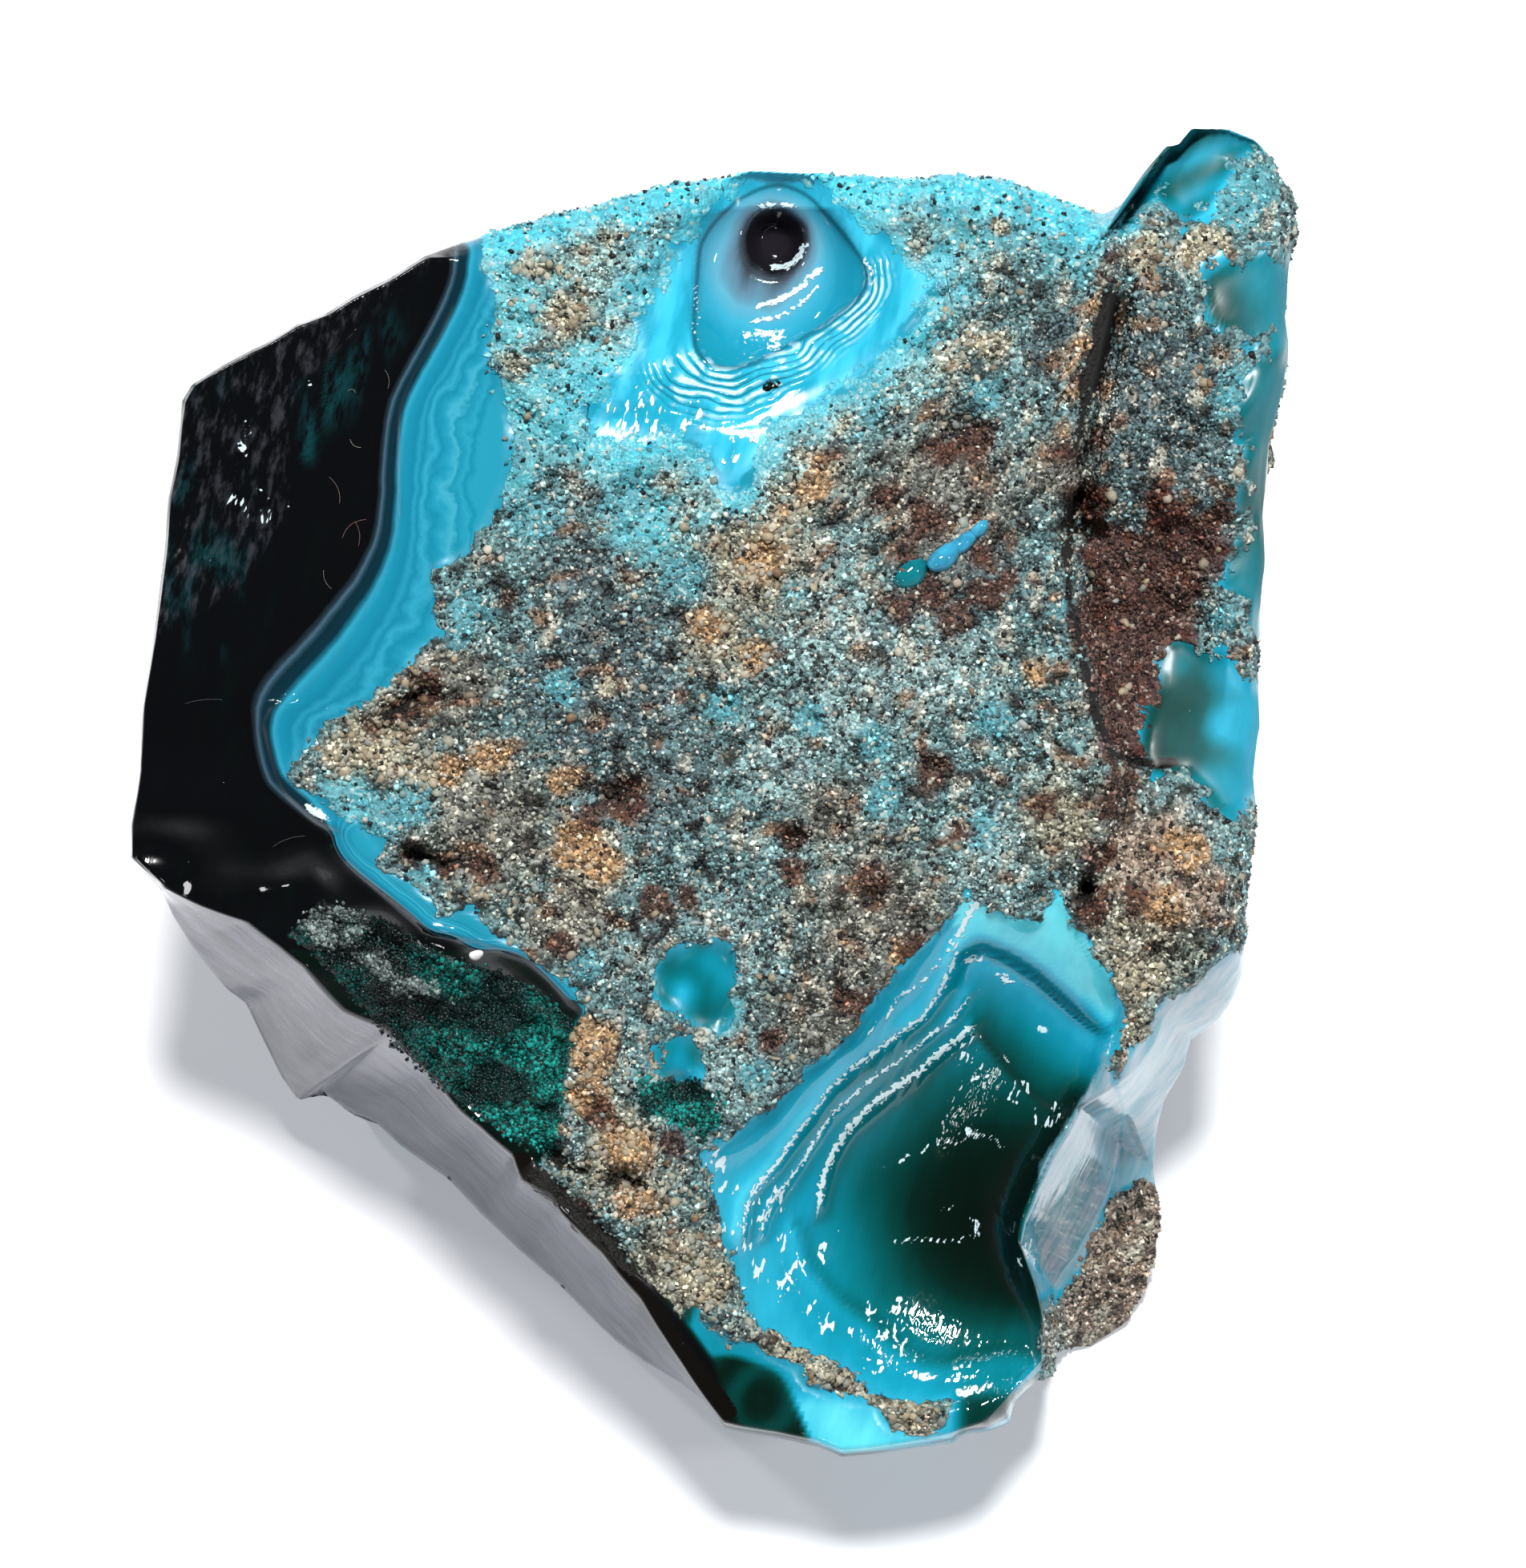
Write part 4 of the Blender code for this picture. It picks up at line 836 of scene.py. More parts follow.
# Where the sides carry sand: in patches by chance, most of them at the back and on the right.
patches = 0.75 * ripple(points, 34, 34) + 0.35 * ripple(points, 11, 35)
patches += 0.5 * rise(0, 30, points[:, 0]) + 0.25 * rise(10, 40, points[:, 1]) - 0.75
crust = blend_to(crust_reach(*drawn.T), 2.5 * patches, rise(0, 0.16, way_down))
sandy = rise(-0.2, 0.6, crust)
relief = blend_to(relief, 0.35 * ripple(points, 3.4, 36) + 0.25 * ripple(points, 1.9, 37) + 0.3, sandy)
relief *= on_side * rise(0, 3, points[:, 2])
points += normals * relief[:, None]
points[:, 2] = np.maximum(points[:, 2], 0)
normals = normals_of(points, quads, triangles)

# The colours of the sand as it lies, and where on the face each shows: a, b, radius. The broad ones
# are laid first, with soft edges, and the others over them with ragged edges.
SAND_BASE = (0.145, 0.275, 0.285)
BROAD_TONES = [
    ((0.3, 0.5, 0.48), [(-11, 37, 6), (-16, 40, 3), (14, 42, 4), (15, 33, 4), (20, 42, 3)]),
    ((0.075, 0.45, 0.52), [(-13, 29, 4.5), (-9, 31, 3.5), (-15, 24.5, 3), (-5, 20, 3.2), (26, 42, 3.5),
        (-7, 26, 3), (-15.6, 36.4, 4), (20, 43, 3), (-18, 35, 2.5), (39, 45, 3.4), (38, 30, 2.4),
        (-27, -1.2, 3), (-22, -0.6, 2)]),
    ((0.36, 0.33, 0.23), [(6, 24, 4.5), (3.5, 17, 4.5), (0, 11, 3), (26, -2, 3.5), (32, -10, 5),
        (-7, -27, 4), (-3, -36, 4), (-25, 3.6, 3.4), (9, -45, 9), (-9, -6, 2.6), (31, -18, 3)]),
    ((0.34, 0.235, 0.17), [(32, -36, 9), (32.5, -5, 4.5), (36, -8, 3)]),
    ((0.095, 0.15, 0.165), [(-8, 8, 7), (-4, 0, 4), (33, 30, 6), (34, 23, 5), (20, 17, 4), (-10, 16, 3),
        (26, 33, 3)]),
    ((0.28, 0.43, 0.43), [(11, 7, 5), (9, 12, 4), (20, -5, 3.4), (17, 9, 4), (-20, 0, 3), (2, -21, 3),
        (1.5, -12, 3.5), (-4.5, -13, 2.4), (5, 2, 3)]),
    ((0.2, 0.185, 0.15), [(12, -10, 6), (-17, -3, 6), (17, 22, 6), (-11, -10, 4), (8, -17, 4),
        (26, 24, 3), (-20, 8, 4), (9, -2, 3)]),
]
RAGGED_TONES = [
    ((0.085, 0.33, 0.385), [(-17.4, 30.3, 1.8), (-16.2, 25.5, 2.4), (22.2, 41.9, 2.2), (26.4, 41.7, 2.6),
        (17.4, 43.5, 1.8), (-1.8, 26.7, 2.4), (6, 14.7, 1.2), (7.2, 5.1, 1.6), (12, 3.3, 1.8),
        (-2.4, 15.9, 2.4), (-9, 29.1, 2.6), (-11.4, 7.5, 1.6), (12.6, -0.9, 1.8), (21, 5.1, 1.8),
        (19.8, -3.3, 1.8), (-18, 13.5, 1.8), (0.6, 6.3, 1.6), (26.4, 13.5, 1.4), (15.6, 33.9, 1.8),
        (20.4, 29.7, 1.6), (0.6, -16.8, 2), (3, -21.3, 1.6), (6.6, 30.3, 2), (-15, 41.1, 2.2),
        (39.6, 44.7, 2.6), (-28.6, -0.6, 2.2), (-25.2, -2.6, 2.4), (-22.4, -1, 2), (-26.8, -4.2, 1.6),
        (-13.5, 20.5, 2.6), (-6.5, 21.5, 2.2), (-19, 11.5, 1.2), (-21.8, -6.3, 1.6), (24, 44, 2.5),
        (-9.6, -13.2, 1.6), (37.6, 16.4, 1.4), (38, 12.6, 1.4), (27.6, 38.5, 1.2), (38.6, 29, 1.4),
        (-3, -26.5, 1.5)]),
    ((0.44, 0.4, 0.28), [(-13.5, 39.3, 1.5), (-15, 31.5, 1.3), (-7.2, 33.9, 1.8), (-11.1, 35.1, 2),
        (-7.8, 41.7, 1.3), (-3.3, 23.7, 1.5), (-1.2, 21.8, 1.6), (21, 33.3, 1.4), (17.4, 32.1, 1.2),
        (15, 41.1, 1.3), (21.6, 42.3, 1), (36.6, 40.5, 2.4), (31.8, 40.5, 2), (-25.2, 3.3, 2),
        (-27.6, 2.4, 1.8), (-22, 1.5, 1.6), (-8, 7.5, 1), (31.8, -14.1, 2.2), (-0.6, -36.9, 2.4),
        (6.5, -43.3, 2), (15, -47, 1.6), (9, 27.5, 1.4)]),
    ((0.46, 0.27, 0.125), [(6.6, 25.2, 1.8), (7.2, 22.5, 1.7), (3.9, 20.7, 1.9), (3.6, 17.1, 1.9),
        (-0.6, 12.3, 1.6), (3, 9.9, 1.5), (-16.8, 2.4, 1.8), (-11.4, 0.6, 1.4), (-10.3, -4, 2.2),
        (-8.2, -5.6, 1.8), (24, 8.7, 1.3), (-19.8, 1.5, 1.3), (35.4, -4.5, 2), (33.6, -8.7, 1.8),
        (-9, -19.5, 2.6), (-9.6, -22.8, 1.8), (-6.6, -26.7, 2.2), (-6, -30.9, 2), (30.4, 36, 0.9),
        (29.4, 30, 0.9), (28.5, 36.4, 0.9), (27.4, 33.2, 1), (26.8, 29.8, 1), (26, 26.6, 0.9),
        (26.6, 31.4, 0.8), (14.2, -12.6, 1.2)]),
    ((0.095, 0.034, 0.019), [(19.5, 26, 2.2), (17.2, 25.2, 1.6), (12.9, 21.9, 1.6), (16.2, 20.1, 1.9),
        (20.4, 14.7, 1.8), (13.8, 13.5, 1.6), (18, 12.9, 1.8), (-6.8, -0.8, 2.2), (-9.2, -2, 1.3),
        (6, -3.6, 1.6), (5.7, -6, 1.3), (16.5, 1.2, 1.9), (-21.6, 7.5, 1.8), (-23.4, 5.6, 1.5),
        (-25.4, 4.6, 1), (-17.2, -6, 1.6), (-19.8, -5.7, 1.6), (-22.6, -4.8, 1.3), (-4.4, -8.7, 1.8),
        (-2, -8, 1.2), (11.7, -6.6, 1.5), (10.2, -15.9, 1.8), (4.2, -18.9, 1.3), (5.4, -23.4, 1.1),
        (15, -12, 1.4), (24.6, -1.2, 1.3), (-11.4, -11.6, 1.5), (9, 25.5, 1), (26.4, 25.5, 1.4),
        (27.3, 30.9, 1), (27, 21.9, 1.6), (-8.4, -24.4, 1.4), (18.6, -3.3, 1.2), (30.6, 0.4, 1.8),
        (28.6, -4.9, 1.6), (16.4, 14.4, 1.8), (14.2, 17.6, 1.5), (20.2, 17.4, 1.5), (22, 15.6, 1.2),
        (28.4, -8.7, 2), (31.6, -8.4, 1.4), (-10, -32, 1.6), (-3, -26.6, 1.4), (-2, -24, 1.4),
        (29.6, 40, 0.9), (28.8, 26, 1.1), (28.6, 21.4, 1.8), (38.2, 21, 1.2), (29.6, -1.5, 1.2),
        (33.6, 21, 2)]),
    ((0.095, 0.024, 0.012), [(33, 15.3, 4.8), (31.2, 9.3, 4.6), (36.2, 18.3, 3), (29, 12.3, 3.4),
        (29.6, 17.6, 3.2), (30.8, 4.8, 3.4), (33.2, 5.8, 3.4), (28.6, 21.4, 1.8), (33.6, 21, 2.2),
        (34.2, 11.6, 2.6)]),
    # Near black: painted shade in the crack, a tear hole, pits and crevices.
    ((0.008, 0.006, 0.005), [(29.7, 36.2, 0.6), (29.4, 34.9, 0.75), (29.1, 33.5, 0.85), (28.8, 32.1, 0.85),
        (28.4, 30.8, 0.85), (28.1, 29.6, 0.7), (27.6, 27.8, 0.5), (26.9, 25.4, 0.5), (26.3, 21.6, 0.8),
        (26.4, 19.8, 0.8), (27.6, -8, 0.9), (27.7, -6.8, 0.6), (-24.6, 5, 0.9), (-23, 6.2, 0.7),
        (-7.2, -0.2, 0.9), (-22.4, -4.7, 0.8), (-19, -5.6, 0.5), (-11.8, -27.6, 1), (-7.4, -29.2, 1.1),
        (-5.6, -29.6, 0.7), (2, -11.6, 0.5), (-0.4, -24, 0.9), (18.2, -10.4, 0.6)]),
]
# Flecks 1 or 2 mm across all over the crust: wavelength, seed, threshold, colour, share.
FLECKS = [
    (2.6, 75, 0.85, (0.25, 0.135, 0.07), 0.85), (2, 76, 0.7, (0.022, 0.018, 0.015), 0.9),
    (2.3, 77, 0.85, (0.5, 0.49, 0.4), 0.75),
]


def sand_colours(points, a, b, on_face):
    """The crust's colour at each point: every tone laid over the last, thickest amid its spots.

    Ripples roughen the spots. Away from the face the tones come by chance.
    """
    fine = 0.5 * ripple(points, 3.6, 61) + 0.35 * ripple(points, 1.7, 62) + 0.25 * ripple(points, 0.9, 63)
    colour = np.tile(SAND_BASE, (len(a), 1))
    colour *= (1 + 0.16 * ripple(points, 7, 64) + 0.12 * fine)[:, None]
    for tones, low, high, most in ((BROAD_TONES, 0.1, 0.8, 0.85), (RAGGED_TONES, 0.38, 0.66, 0.9)):
        for number, (tone, spots) in enumerate(tones):
            chance = rise(0.5, 1.1, ripple(points, 9, 65 + number))
            share = blend_to(0.75 * chance, soft_spots(spots, a, b), on_face)
            here = most * rise(low, high, share + 0.2 * fine * rise(0.05, 0.4, share))
            colour = blend_to(colour, tone, here[:, None])
        if tones is BROAD_TONES:
            glazed = rise(0.14, 0.4, colour[:, 2] - colour[:, 0])
            for wavelength, seed, least, tone, share in FLECKS:
                fleck = share * rise(least, least + 0.3, ripple(points, wavelength, seed))
                colour = blend_to(colour, tone, (fleck * (1 - 0.7 * glazed))[:, None])
    near_smear = rise(4.5, 0, -signed(SMEAR, a, b) + 1.4 * fine) * on_face
    colour = blend_to(colour, (0.05, 0.5, 0.62), 0.78 * near_smear[:, None])
    near_top = rise(3.4, 0.6, distance_to([p[:2] for p in RIM[:17]], a, b)[0] + 1 * fine) * on_face
    return blend_to(colour, (0.06, 0.6, 0.75), 0.85 * near_top[:, None])


def glass_depth(a, b):
    """How dark the bare glass of the face is: 0 pale cyan, 0.2 turquoise, 0.45 teal, 0.7 green, 1 black.

    Each zone is laid over the last. The hollow goes by its oval distance from its dark middle.
    """
    def within(loop, soft=0.3):
        """1 inside an outline and 0 outside, with an edge of soft millimetres either way."""
        return rise(-soft, soft, signed(loop, a, b))

    flat = on_plane(a, b)
    wavy = ripple(flat, 9, 41)
    depth = 0.2 + 0.05 * wavy - 0.1 * rise(42.5, 45, b)

    # The hollow, darkest at the foot of its thin side; painted shade in the flute on each fold's inner side.
    across = (a - 20.5) / np.where(a < 20.5, 14, 30)
    along = (b + 32.5) / np.where(b < -32.5, 14, 17)
    oval = np.hypot(across, along) + 0.03 * wavy
    dark = np.interp(oval, [0, 0.3, 0.4, 0.48, 0.6, 0.75, 0.9, 1, 1.2],
                     [0.92, 0.84, 0.73, 0.62, 0.49, 0.37, 0.27, 0.21, 0.14])
    # Each fold: painted shade in its flute on the inner side, and paler on its outer side.
    for line, change in zip(FOLD_LINES, (0.17, 0.08, 0.08, 0.1)):
        off = off_line(line, a, b)
        dark += change * (np.exp(-((off - 0.7) / 0.5) ** 2) - 0.5 * np.exp(-((off + 0.4) / 0.7) ** 2))
    shelf, side = distance_to(SHELF_CREASE, a, b)
    below = np.where((side < 0) | (a < 18), shelf, -shelf)
    facet = rise(-0.1, 0.3, off_line(FACET_EDGE, a, b)) * rise(-0.2, 0.2, below)
    beyond = np.interp(below, [0, 0.5, 1.4, 3.4, 5.6, 7.3, 9], [0.32, 0.18, 0.15, 0.3, 0.5, 0.66, 0.8])
    dark = blend_to(dark, beyond, facet)
    # Painted light: the shelf above the crease goes palest cyan; painted shade along the crease itself.
    above = np.interp(shelf, [0, 0.5, 1, 3, 5], [0.34, 0.14, 0.04, 0, 0])
    dark = blend_to(dark, above, rise(0.2, -0.2, below))
    dark = blend_to(dark, 0.95, np.exp(-(distance_to(HOLLOW_RIGHT[3:9], a, b)[0] / 1.5) ** 2))
    depth = blend_to(depth, dark, within(HOLLOW))

    # The strip on the right and the horn, then the bare patches on the crust.
    pocket = 0.45 - 0.05 * (a - 38) + 0.06 * wavy + 0.12 * np.exp(-((a - 38) ** 2 + (b - 36) ** 2) / 4)
    lower = a + 0.15 * b + 0.9 * ripple(flat, 3.6, 42)
    streak = np.sin(2 * math.pi * ((b - 0.58 * a) / 3.4 + 0.15 * wavy))
    patch = 0.27 + 0.09 * ripple(flat, 3.2, 43)
    for loop, soft, wanted in (
            (POCKET_UPPER, 0.4, np.clip(pocket, 0.3, 0.6)),
            (POCKET_LOWER, 0.6, np.interp(lower, [33, 36.5, 38.5, 40], [0.62, 0.5, 0.3, 0.18])),
            (MARGIN_RIGHT, 0.4, 0.38 + 0.1 * wavy),
            (HORN_GLASS, 0.4, 0.33 + 0.1 * streak + 0.06 * rise(36, 32, a)),
            (PATCH_ONE, 0.3, patch), (PATCH_TWO, 0.3, patch), (CAVITY, 0.3, 0.88)):
        depth = blend_to(depth, wanted, within(loop, soft))

    # The foot of the face: pale under the hollow's lip, the green lobe, the black edge.
    depth = blend_to(depth, 0.08 + 0.06 * wavy, rise(-44.5, -46.5, b))
    rings = np.sin(2.3 * np.hypot(a - 3.6, 0.8 * (b + 45.6)) + 1.5 * wavy)
    depth = blend_to(depth, 0.7 + 0.12 * rings, within(GREEN_LOBE))
    right = rise(17.5, 19.5, a) * rise(-44.5, -46, b)
    depth = blend_to(depth, 0.65 + 0.1 * wavy, right)
    depth = blend_to(depth, 0.6, within(GREEN_CHIP))
    depth = blend_to(depth, 1, within(BLACK_EDGE))
    return blend_to(depth, 0.82, within(SUGAR_ZONE, 0.5))


a, b = drawn.T
face_only = 1 - rise(0, 0.1, way_down)
spread = 1 + 0.6 * rise(22, 10, b) * rise(4, 7.5, b) - 0.8 * rise(-0.5, -3.5, b)
skin = skin_reach(a, b) / spread
on_skin = rise(-9, -10, a) * rise(-16.8, -15.6, b) * face_only
cliff, cliff_side = distance_to(CLIFF_EDGE, a, b)
over_cliff = np.where((b > -5) | (a > 1), -5, -cliff * cliff_side)
broken = -off_line(BREAK_EDGE + SUGAR_EDGE[1:], a, b)
broken = np.where((a < -9) & (b < 41), broken, -9)

# The sides: a turquoise skin under the crust, then green, then black, drawn out in flowing bands.
flow = ripple(points * (1, 1, 1.8), 30, 51) + 0.4 * ripple(points * (1, 1, 2.5), 9, 52)
bands = 0.55 + 0.25 * flow + 0.35 * rise(0, 0.5, way_down)
streaks = rise(0.72, 0.95, np.sin(2 * math.pi * (points[:, 2] + 5 * flow + 0.2 * points[:, 0]) / 13))
side_depth = np.clip(bands - 0.55 * streaks, 0.12, 1)
blackest = rise(-12, -28, points[:, 0] + 0.3 * points[:, 1])
side_depth = blend_to(side_depth, 1, blackest * (1 - 0.7 * streaks))
depth = glass_depth(a, b)
window = np.maximum.reduce([
    np.exp(-(distance_to(line, a, b)[0] / half) ** 2) for half, line in TEAL_WINDOWS])
window *= rise(-0.2, 0.9, ripple(points * (2.6, 0.8, 1), 5, 71))
window = np.where((on_skin > 0.5) & (skin < -1), np.clip(window, 0, 1), 0)
depth = np.where((on_skin > 0.5) & (skin < 0), 1, depth)
below_sugar = (signed(SUGAR_ZONE, a, b) < 0) & (b < -12)
depth = blend_to(depth, 0.92, rise(0, 0.3, broken) * below_sugar)
depth = blend_to(depth, 1, rise(-0.2, 0.3, over_cliff))
depth = blend_to(depth, side_depth, rise(0, 0.14, way_down))
at_foot = rise(-43, -44.5, b) * rise(0, 1, a)
depth = blend_to(depth, side_depth, rise(0.35, 0.75, turned) * at_foot)

# The eye: distances from its pit, and from the edge of its bowl; the folds lie below its bowl.
from_pit = np.hypot(a - PIT[0], (b - PIT[1]) / 1.06)
halo = rise(2.2, 5, from_pit)
eye = np.hypot(a - PIT[0] + 0.9 * halo, (b - PIT[1]) / 1.06 + 1.3 * halo)
bowl = signed(BOWL, a, b)
low_side = rise(34.5, 32.5, b - 0.47 * a)
waves = low_side * rise(-4.3 + 0.16 * a, -2.7 + 0.16 * a, bowl)
waves *= rise(0.1, 0.9, signed(SMEAR, a, b))
waves *= rise(0.3, -0.1, bowl)
around = bowl * (1 + 0.5 * rise(7, 12.5, a) - 0.15 * rise(2, -4, a))

# The hollow: how strong its long folds are; where painted highlights go, and where glass is worn dull.
ends = np.interp(a, [5, 7], [-33.5, -31.5])
fold_share = rise(-0.2, 0.8, signed(HOLLOW, a, b)) * rise(-0.8, 0.6, b - ends)
fold_share *= rise(0.4, 0, off_line(FACET_EDGE, a, b)) * rise(-11.5, -12.5, b)
glint = np.clip(stroke_reach(GLINTS, a, b), -1.5, 0.5)
frost = signed_any((POCKET_UPPER, POCKET_LOWER, MARGIN_RIGHT, HORN_GLASS), a, b)
bend = np.where((a < -19) & (skin < 0), -off_line(LEFT_BEND, a, b), -3)
under_rim = rise(0.02, 0.3, way_down)
sand_shade = sand_colours(points, a, b, face_only)

# What the finish reads at each point. The second lot runs to another number just under the rim.
ON_THE_STONE = {
    "crust": crust, "depth": depth, "bowl": bowl, "around": around, "teal_window": window,
    "sand_shade": sand_shade,
    "skin": blend_to(-9, skin, on_skin),
    "pale_sugar": distance_to(PALE_SUGAR, a, b)[0],
    "cliff": blend_to(over_cliff, -5, rise(0, 0.3, way_down)),
    "thin_side": blend_to(signed(FACET_FRONT, a, b), -3, under_rim),
    "pale_side": blend_to(signed(FACET_SIDE, a, b), -3, under_rim),
}
for name, value, elsewhere in (
        ("eye", eye, 40), ("waves", waves, 0), ("slot_shadow", stroke_reach(SHADOW_SLOTS, a, b), -5),
        ("smear", signed(SMEAR, a, b), -3), ("sugar", signed_any((SUGAR_ZONE, CAVITY), a, b), -3),
        ("folds", fold_share, 0), ("glint", glint, -1.5), ("glint_cluster", soft_spots(GLINT_CLUSTERS, a, b), 0),
        ("frost", frost, -3), ("crazed", soft_spots(CRAZED, a, b), 0), ("bend", bend, 0.6)):
    ON_THE_STONE[name] = blend_to(elsewhere, value, face_only)
for number, line in enumerate(FOLD_LINES[:3]):
    ON_THE_STONE[f"fold_{number + 1}"] = off_line(line, a, b)


def mesh_of(name, places, faces, values):
    """A mesh in metres from points in millimetres, lists of faces, and one number or colour a point."""
    mesh = bpy.data.meshes.new(name)
    corners = np.concatenate([f.ravel() for f in faces]).astype(np.int32)
    sizes = np.concatenate([np.full(len(f), f.shape[1]) for f in faces])
    starts = np.concatenate([[0], np.cumsum(sizes)[:-1]]).astype(np.int32)
    mesh.vertices.add(len(places))
    mesh.vertices.foreach_set("co", (places * MM).astype(np.float32).ravel())
    mesh.loops.add(len(corners))
    mesh.loops.foreach_set("vertex_index", corners)
    mesh.polygons.add(len(sizes))
    mesh.polygons.foreach_set("loop_start", starts)
    mesh.update(calc_edges=True)
    for key, value in values.items():
        if value.ndim == 1:
            mesh.attributes.new(key, "FLOAT", "POINT").data.foreach_set("value", value.astype(np.float32))
        else:
            rgba = np.concatenate([value, np.ones((len(value), 1))], axis=1).astype(np.float32)
            mesh.attributes.new(key, "FLOAT_COLOR", "POINT").data.foreach_set("color", rgba.ravel())
    piece = bpy.data.objects.new(name, mesh)
    bpy.context.scene.collection.objects.link(piece)
    return piece


lump = mesh_of("turquoise_lump", points, [quads, triangles, foot[None, :]], ON_THE_STONE)
lump.data.shade_smooth()


# Its finish: glass that runs from pale cyan over turquoise and green to black, and a crust of fine
# sand fused into it. The numbers on the mesh say where each begins; noise breaks up every edge.
class Nodes:
    """A node tree, with one short call for each kind of node it needs."""

    def __init__(self, tree):
        self.tree = tree

    def fill(self, node, values):
        """Set inputs of a node, by name or in turn, to numbers, colours or other nodes' outputs."""
        for socket, value in (values.items() if isinstance(values, dict) else enumerate(values)):
            taken = node.inputs[socket]
            if isinstance(value, bpy.types.NodeSocket):
                self.tree.links.new(value, taken)
            else:
                taken.default_value = (*value, 1) if taken.type == "RGBA" else value

    def node(self, kind, values=(), **settings):
        """A new node with its settings and its inputs."""
        made = self.tree.nodes.new(kind)
        for key, value in settings.items():
            setattr(made, key, value)
        self.fill(made, values)
        return made

    def maths(self, operation, *values):
        """One sum on numbers, named as Blender names it."""
        return self.node("ShaderNodeMath", values, operation=operation).outputs[0]

    def times(self, one, two):
        """one x two."""
        return self.maths("MULTIPLY", one, two)

    def more(self, one, two, base):
        """base + one x two."""
        return self.maths("MULTIPLY_ADD", one, two, base)

    def step(self, value, low, high):
        """0 below low, 1 above high, smooth between."""
        return self.node("ShaderNodeMapRange", {"Value": value, "From Min": low, "From Max": high},
                         interpolation_type="SMOOTHSTEP").outputs[0]

    def sway(self, value, noise, swing, more=1):
        """value moved by noise by up to swing times more either way."""
        if isinstance(swing, bpy.types.NodeSocket):
            swing = self.times(swing, more)
        return self.more(self.more(noise, 2, -1), swing, value)

    def ragged(self, value, noise, swing, low, high):
        """A step on value after noise has moved it by up to swing either way."""
        return self.step(self.sway(value, noise, swing), low, high)

    def peak(self, value, width):
        """1 where value is 0, falling smoothly to 0 at width on either side."""
        return self.step(self.maths("ABSOLUTE", value), width, 0)

    def mix(self, share, one, two, blend="MIX"):
        """Two colours: the first where share is 0, the second where it is 1."""
        return self.node("ShaderNodeMix", {0: share, 6: one, 7: two}, data_type="RGBA",
                         blend_type=blend).outputs[2]

    def blend(self, share, one, two):
        """The same for plain numbers."""
        return self.node("ShaderNodeMix", {0: share, 2: one, 3: two}).outputs[0]

    def ramp(self, value, stops):
        """Colours or greys by value, straight between the stops."""
        made = self.node("ShaderNodeValToRGB", (value,))
        ramp = made.color_ramp
        while len(ramp.elements) < len(stops):
            ramp.elements.new(1)
        for element, (at, colour) in zip(ramp.elements, stops):
            element.position = at
            element.color = (*colour, 1) if isinstance(colour, tuple) else (colour,) * 3 + (1,)
        return made.outputs["Color"]


class Finish(Nodes):
    """A new material, with the numbers, colours and noise that its nodes read from the mesh."""

    def __init__(self, name):
        self.material = bpy.data.materials.new(name)
        self.material.use_nodes = True
        super().__init__(self.material.node_tree)
        self.shader = self.tree.nodes["Principled BSDF"]
        self.place = self.node("ShaderNodeTexCoord").outputs["Object"]

    def lay_on(self, piece, looks=()):
        """Set the shader's inputs, if given, and make this the material of a piece."""
        self.fill(self.shader, looks)
        piece.data.materials.clear()
        piece.data.materials.append(self.material)

    def number(self, name):
        """The mesh's own number at this point."""
        return self.node("ShaderNodeAttribute", attribute_name=name).outputs["Fac"]

    def tint(self, name):
        """The mesh's own colour at this point."""
        return self.node("ShaderNodeAttribute", attribute_name=name).outputs["Color"]

    def noise(self, size, detail=3, rough=0.6, along=None, longer=5, warp=0):
        """Noise from 0 to 1 whose lumps are about size millimetres across.

        along is a direction on the face, as a and b, in which the lumps are drawn out.
        """
        place = self.place
        if along:
            lean = math.radians(LEAN)
            turn = (math.asin(along[1] * math.sin(lean)), 0,
                    math.atan2(-along[0], along[1] * math.cos(lean)))
            place = self.node("ShaderNodeMapping", {
                "Vector": place, "Rotation": turn, "Scale": (1, longer, 1)},
                vector_type="TEXTURE").outputs[0]
        return self.node("ShaderNodeTexNoise", {
            "Vector": place, "Scale": 1 / (size * MM), "Detail": detail, "Roughness": rough,
            "Distortion": warp}).outputs["Fac"]


stone = Finish("crusted_turquoise_glass")
fine = stone.noise(0.9, 4, 0.65)
medium = stone.noise(2.2, 3, 0.6)
broad = stone.noise(5, 4, 0.6)
streaky = stone.noise(1.4, 3, 0.55, along=(0.27, 0.96))
BLACK_GLASS = (0.0022, 0.0026, 0.0034)

# Glass colour by depth, from pale cyan through turquoise, teal and green to black.
depth_here = stone.sway(stone.number("depth"), streaky, 0.05)
glass = stone.ramp(depth_here, [
    (0, (0.15, 0.88, 1)), (0.1, (0.03, 0.5, 0.72)), (0.2, (0.007, 0.32, 0.47)),
    (0.32, (0.002, 0.21, 0.265)), (0.45, (0.001, 0.105, 0.11)), (0.58, (0.001, 0.05, 0.043)),
    (0.72, (0.001, 0.021, 0.015)), (0.86, (0.0015, 0.01, 0.006)), (1, BLACK_GLASS)])

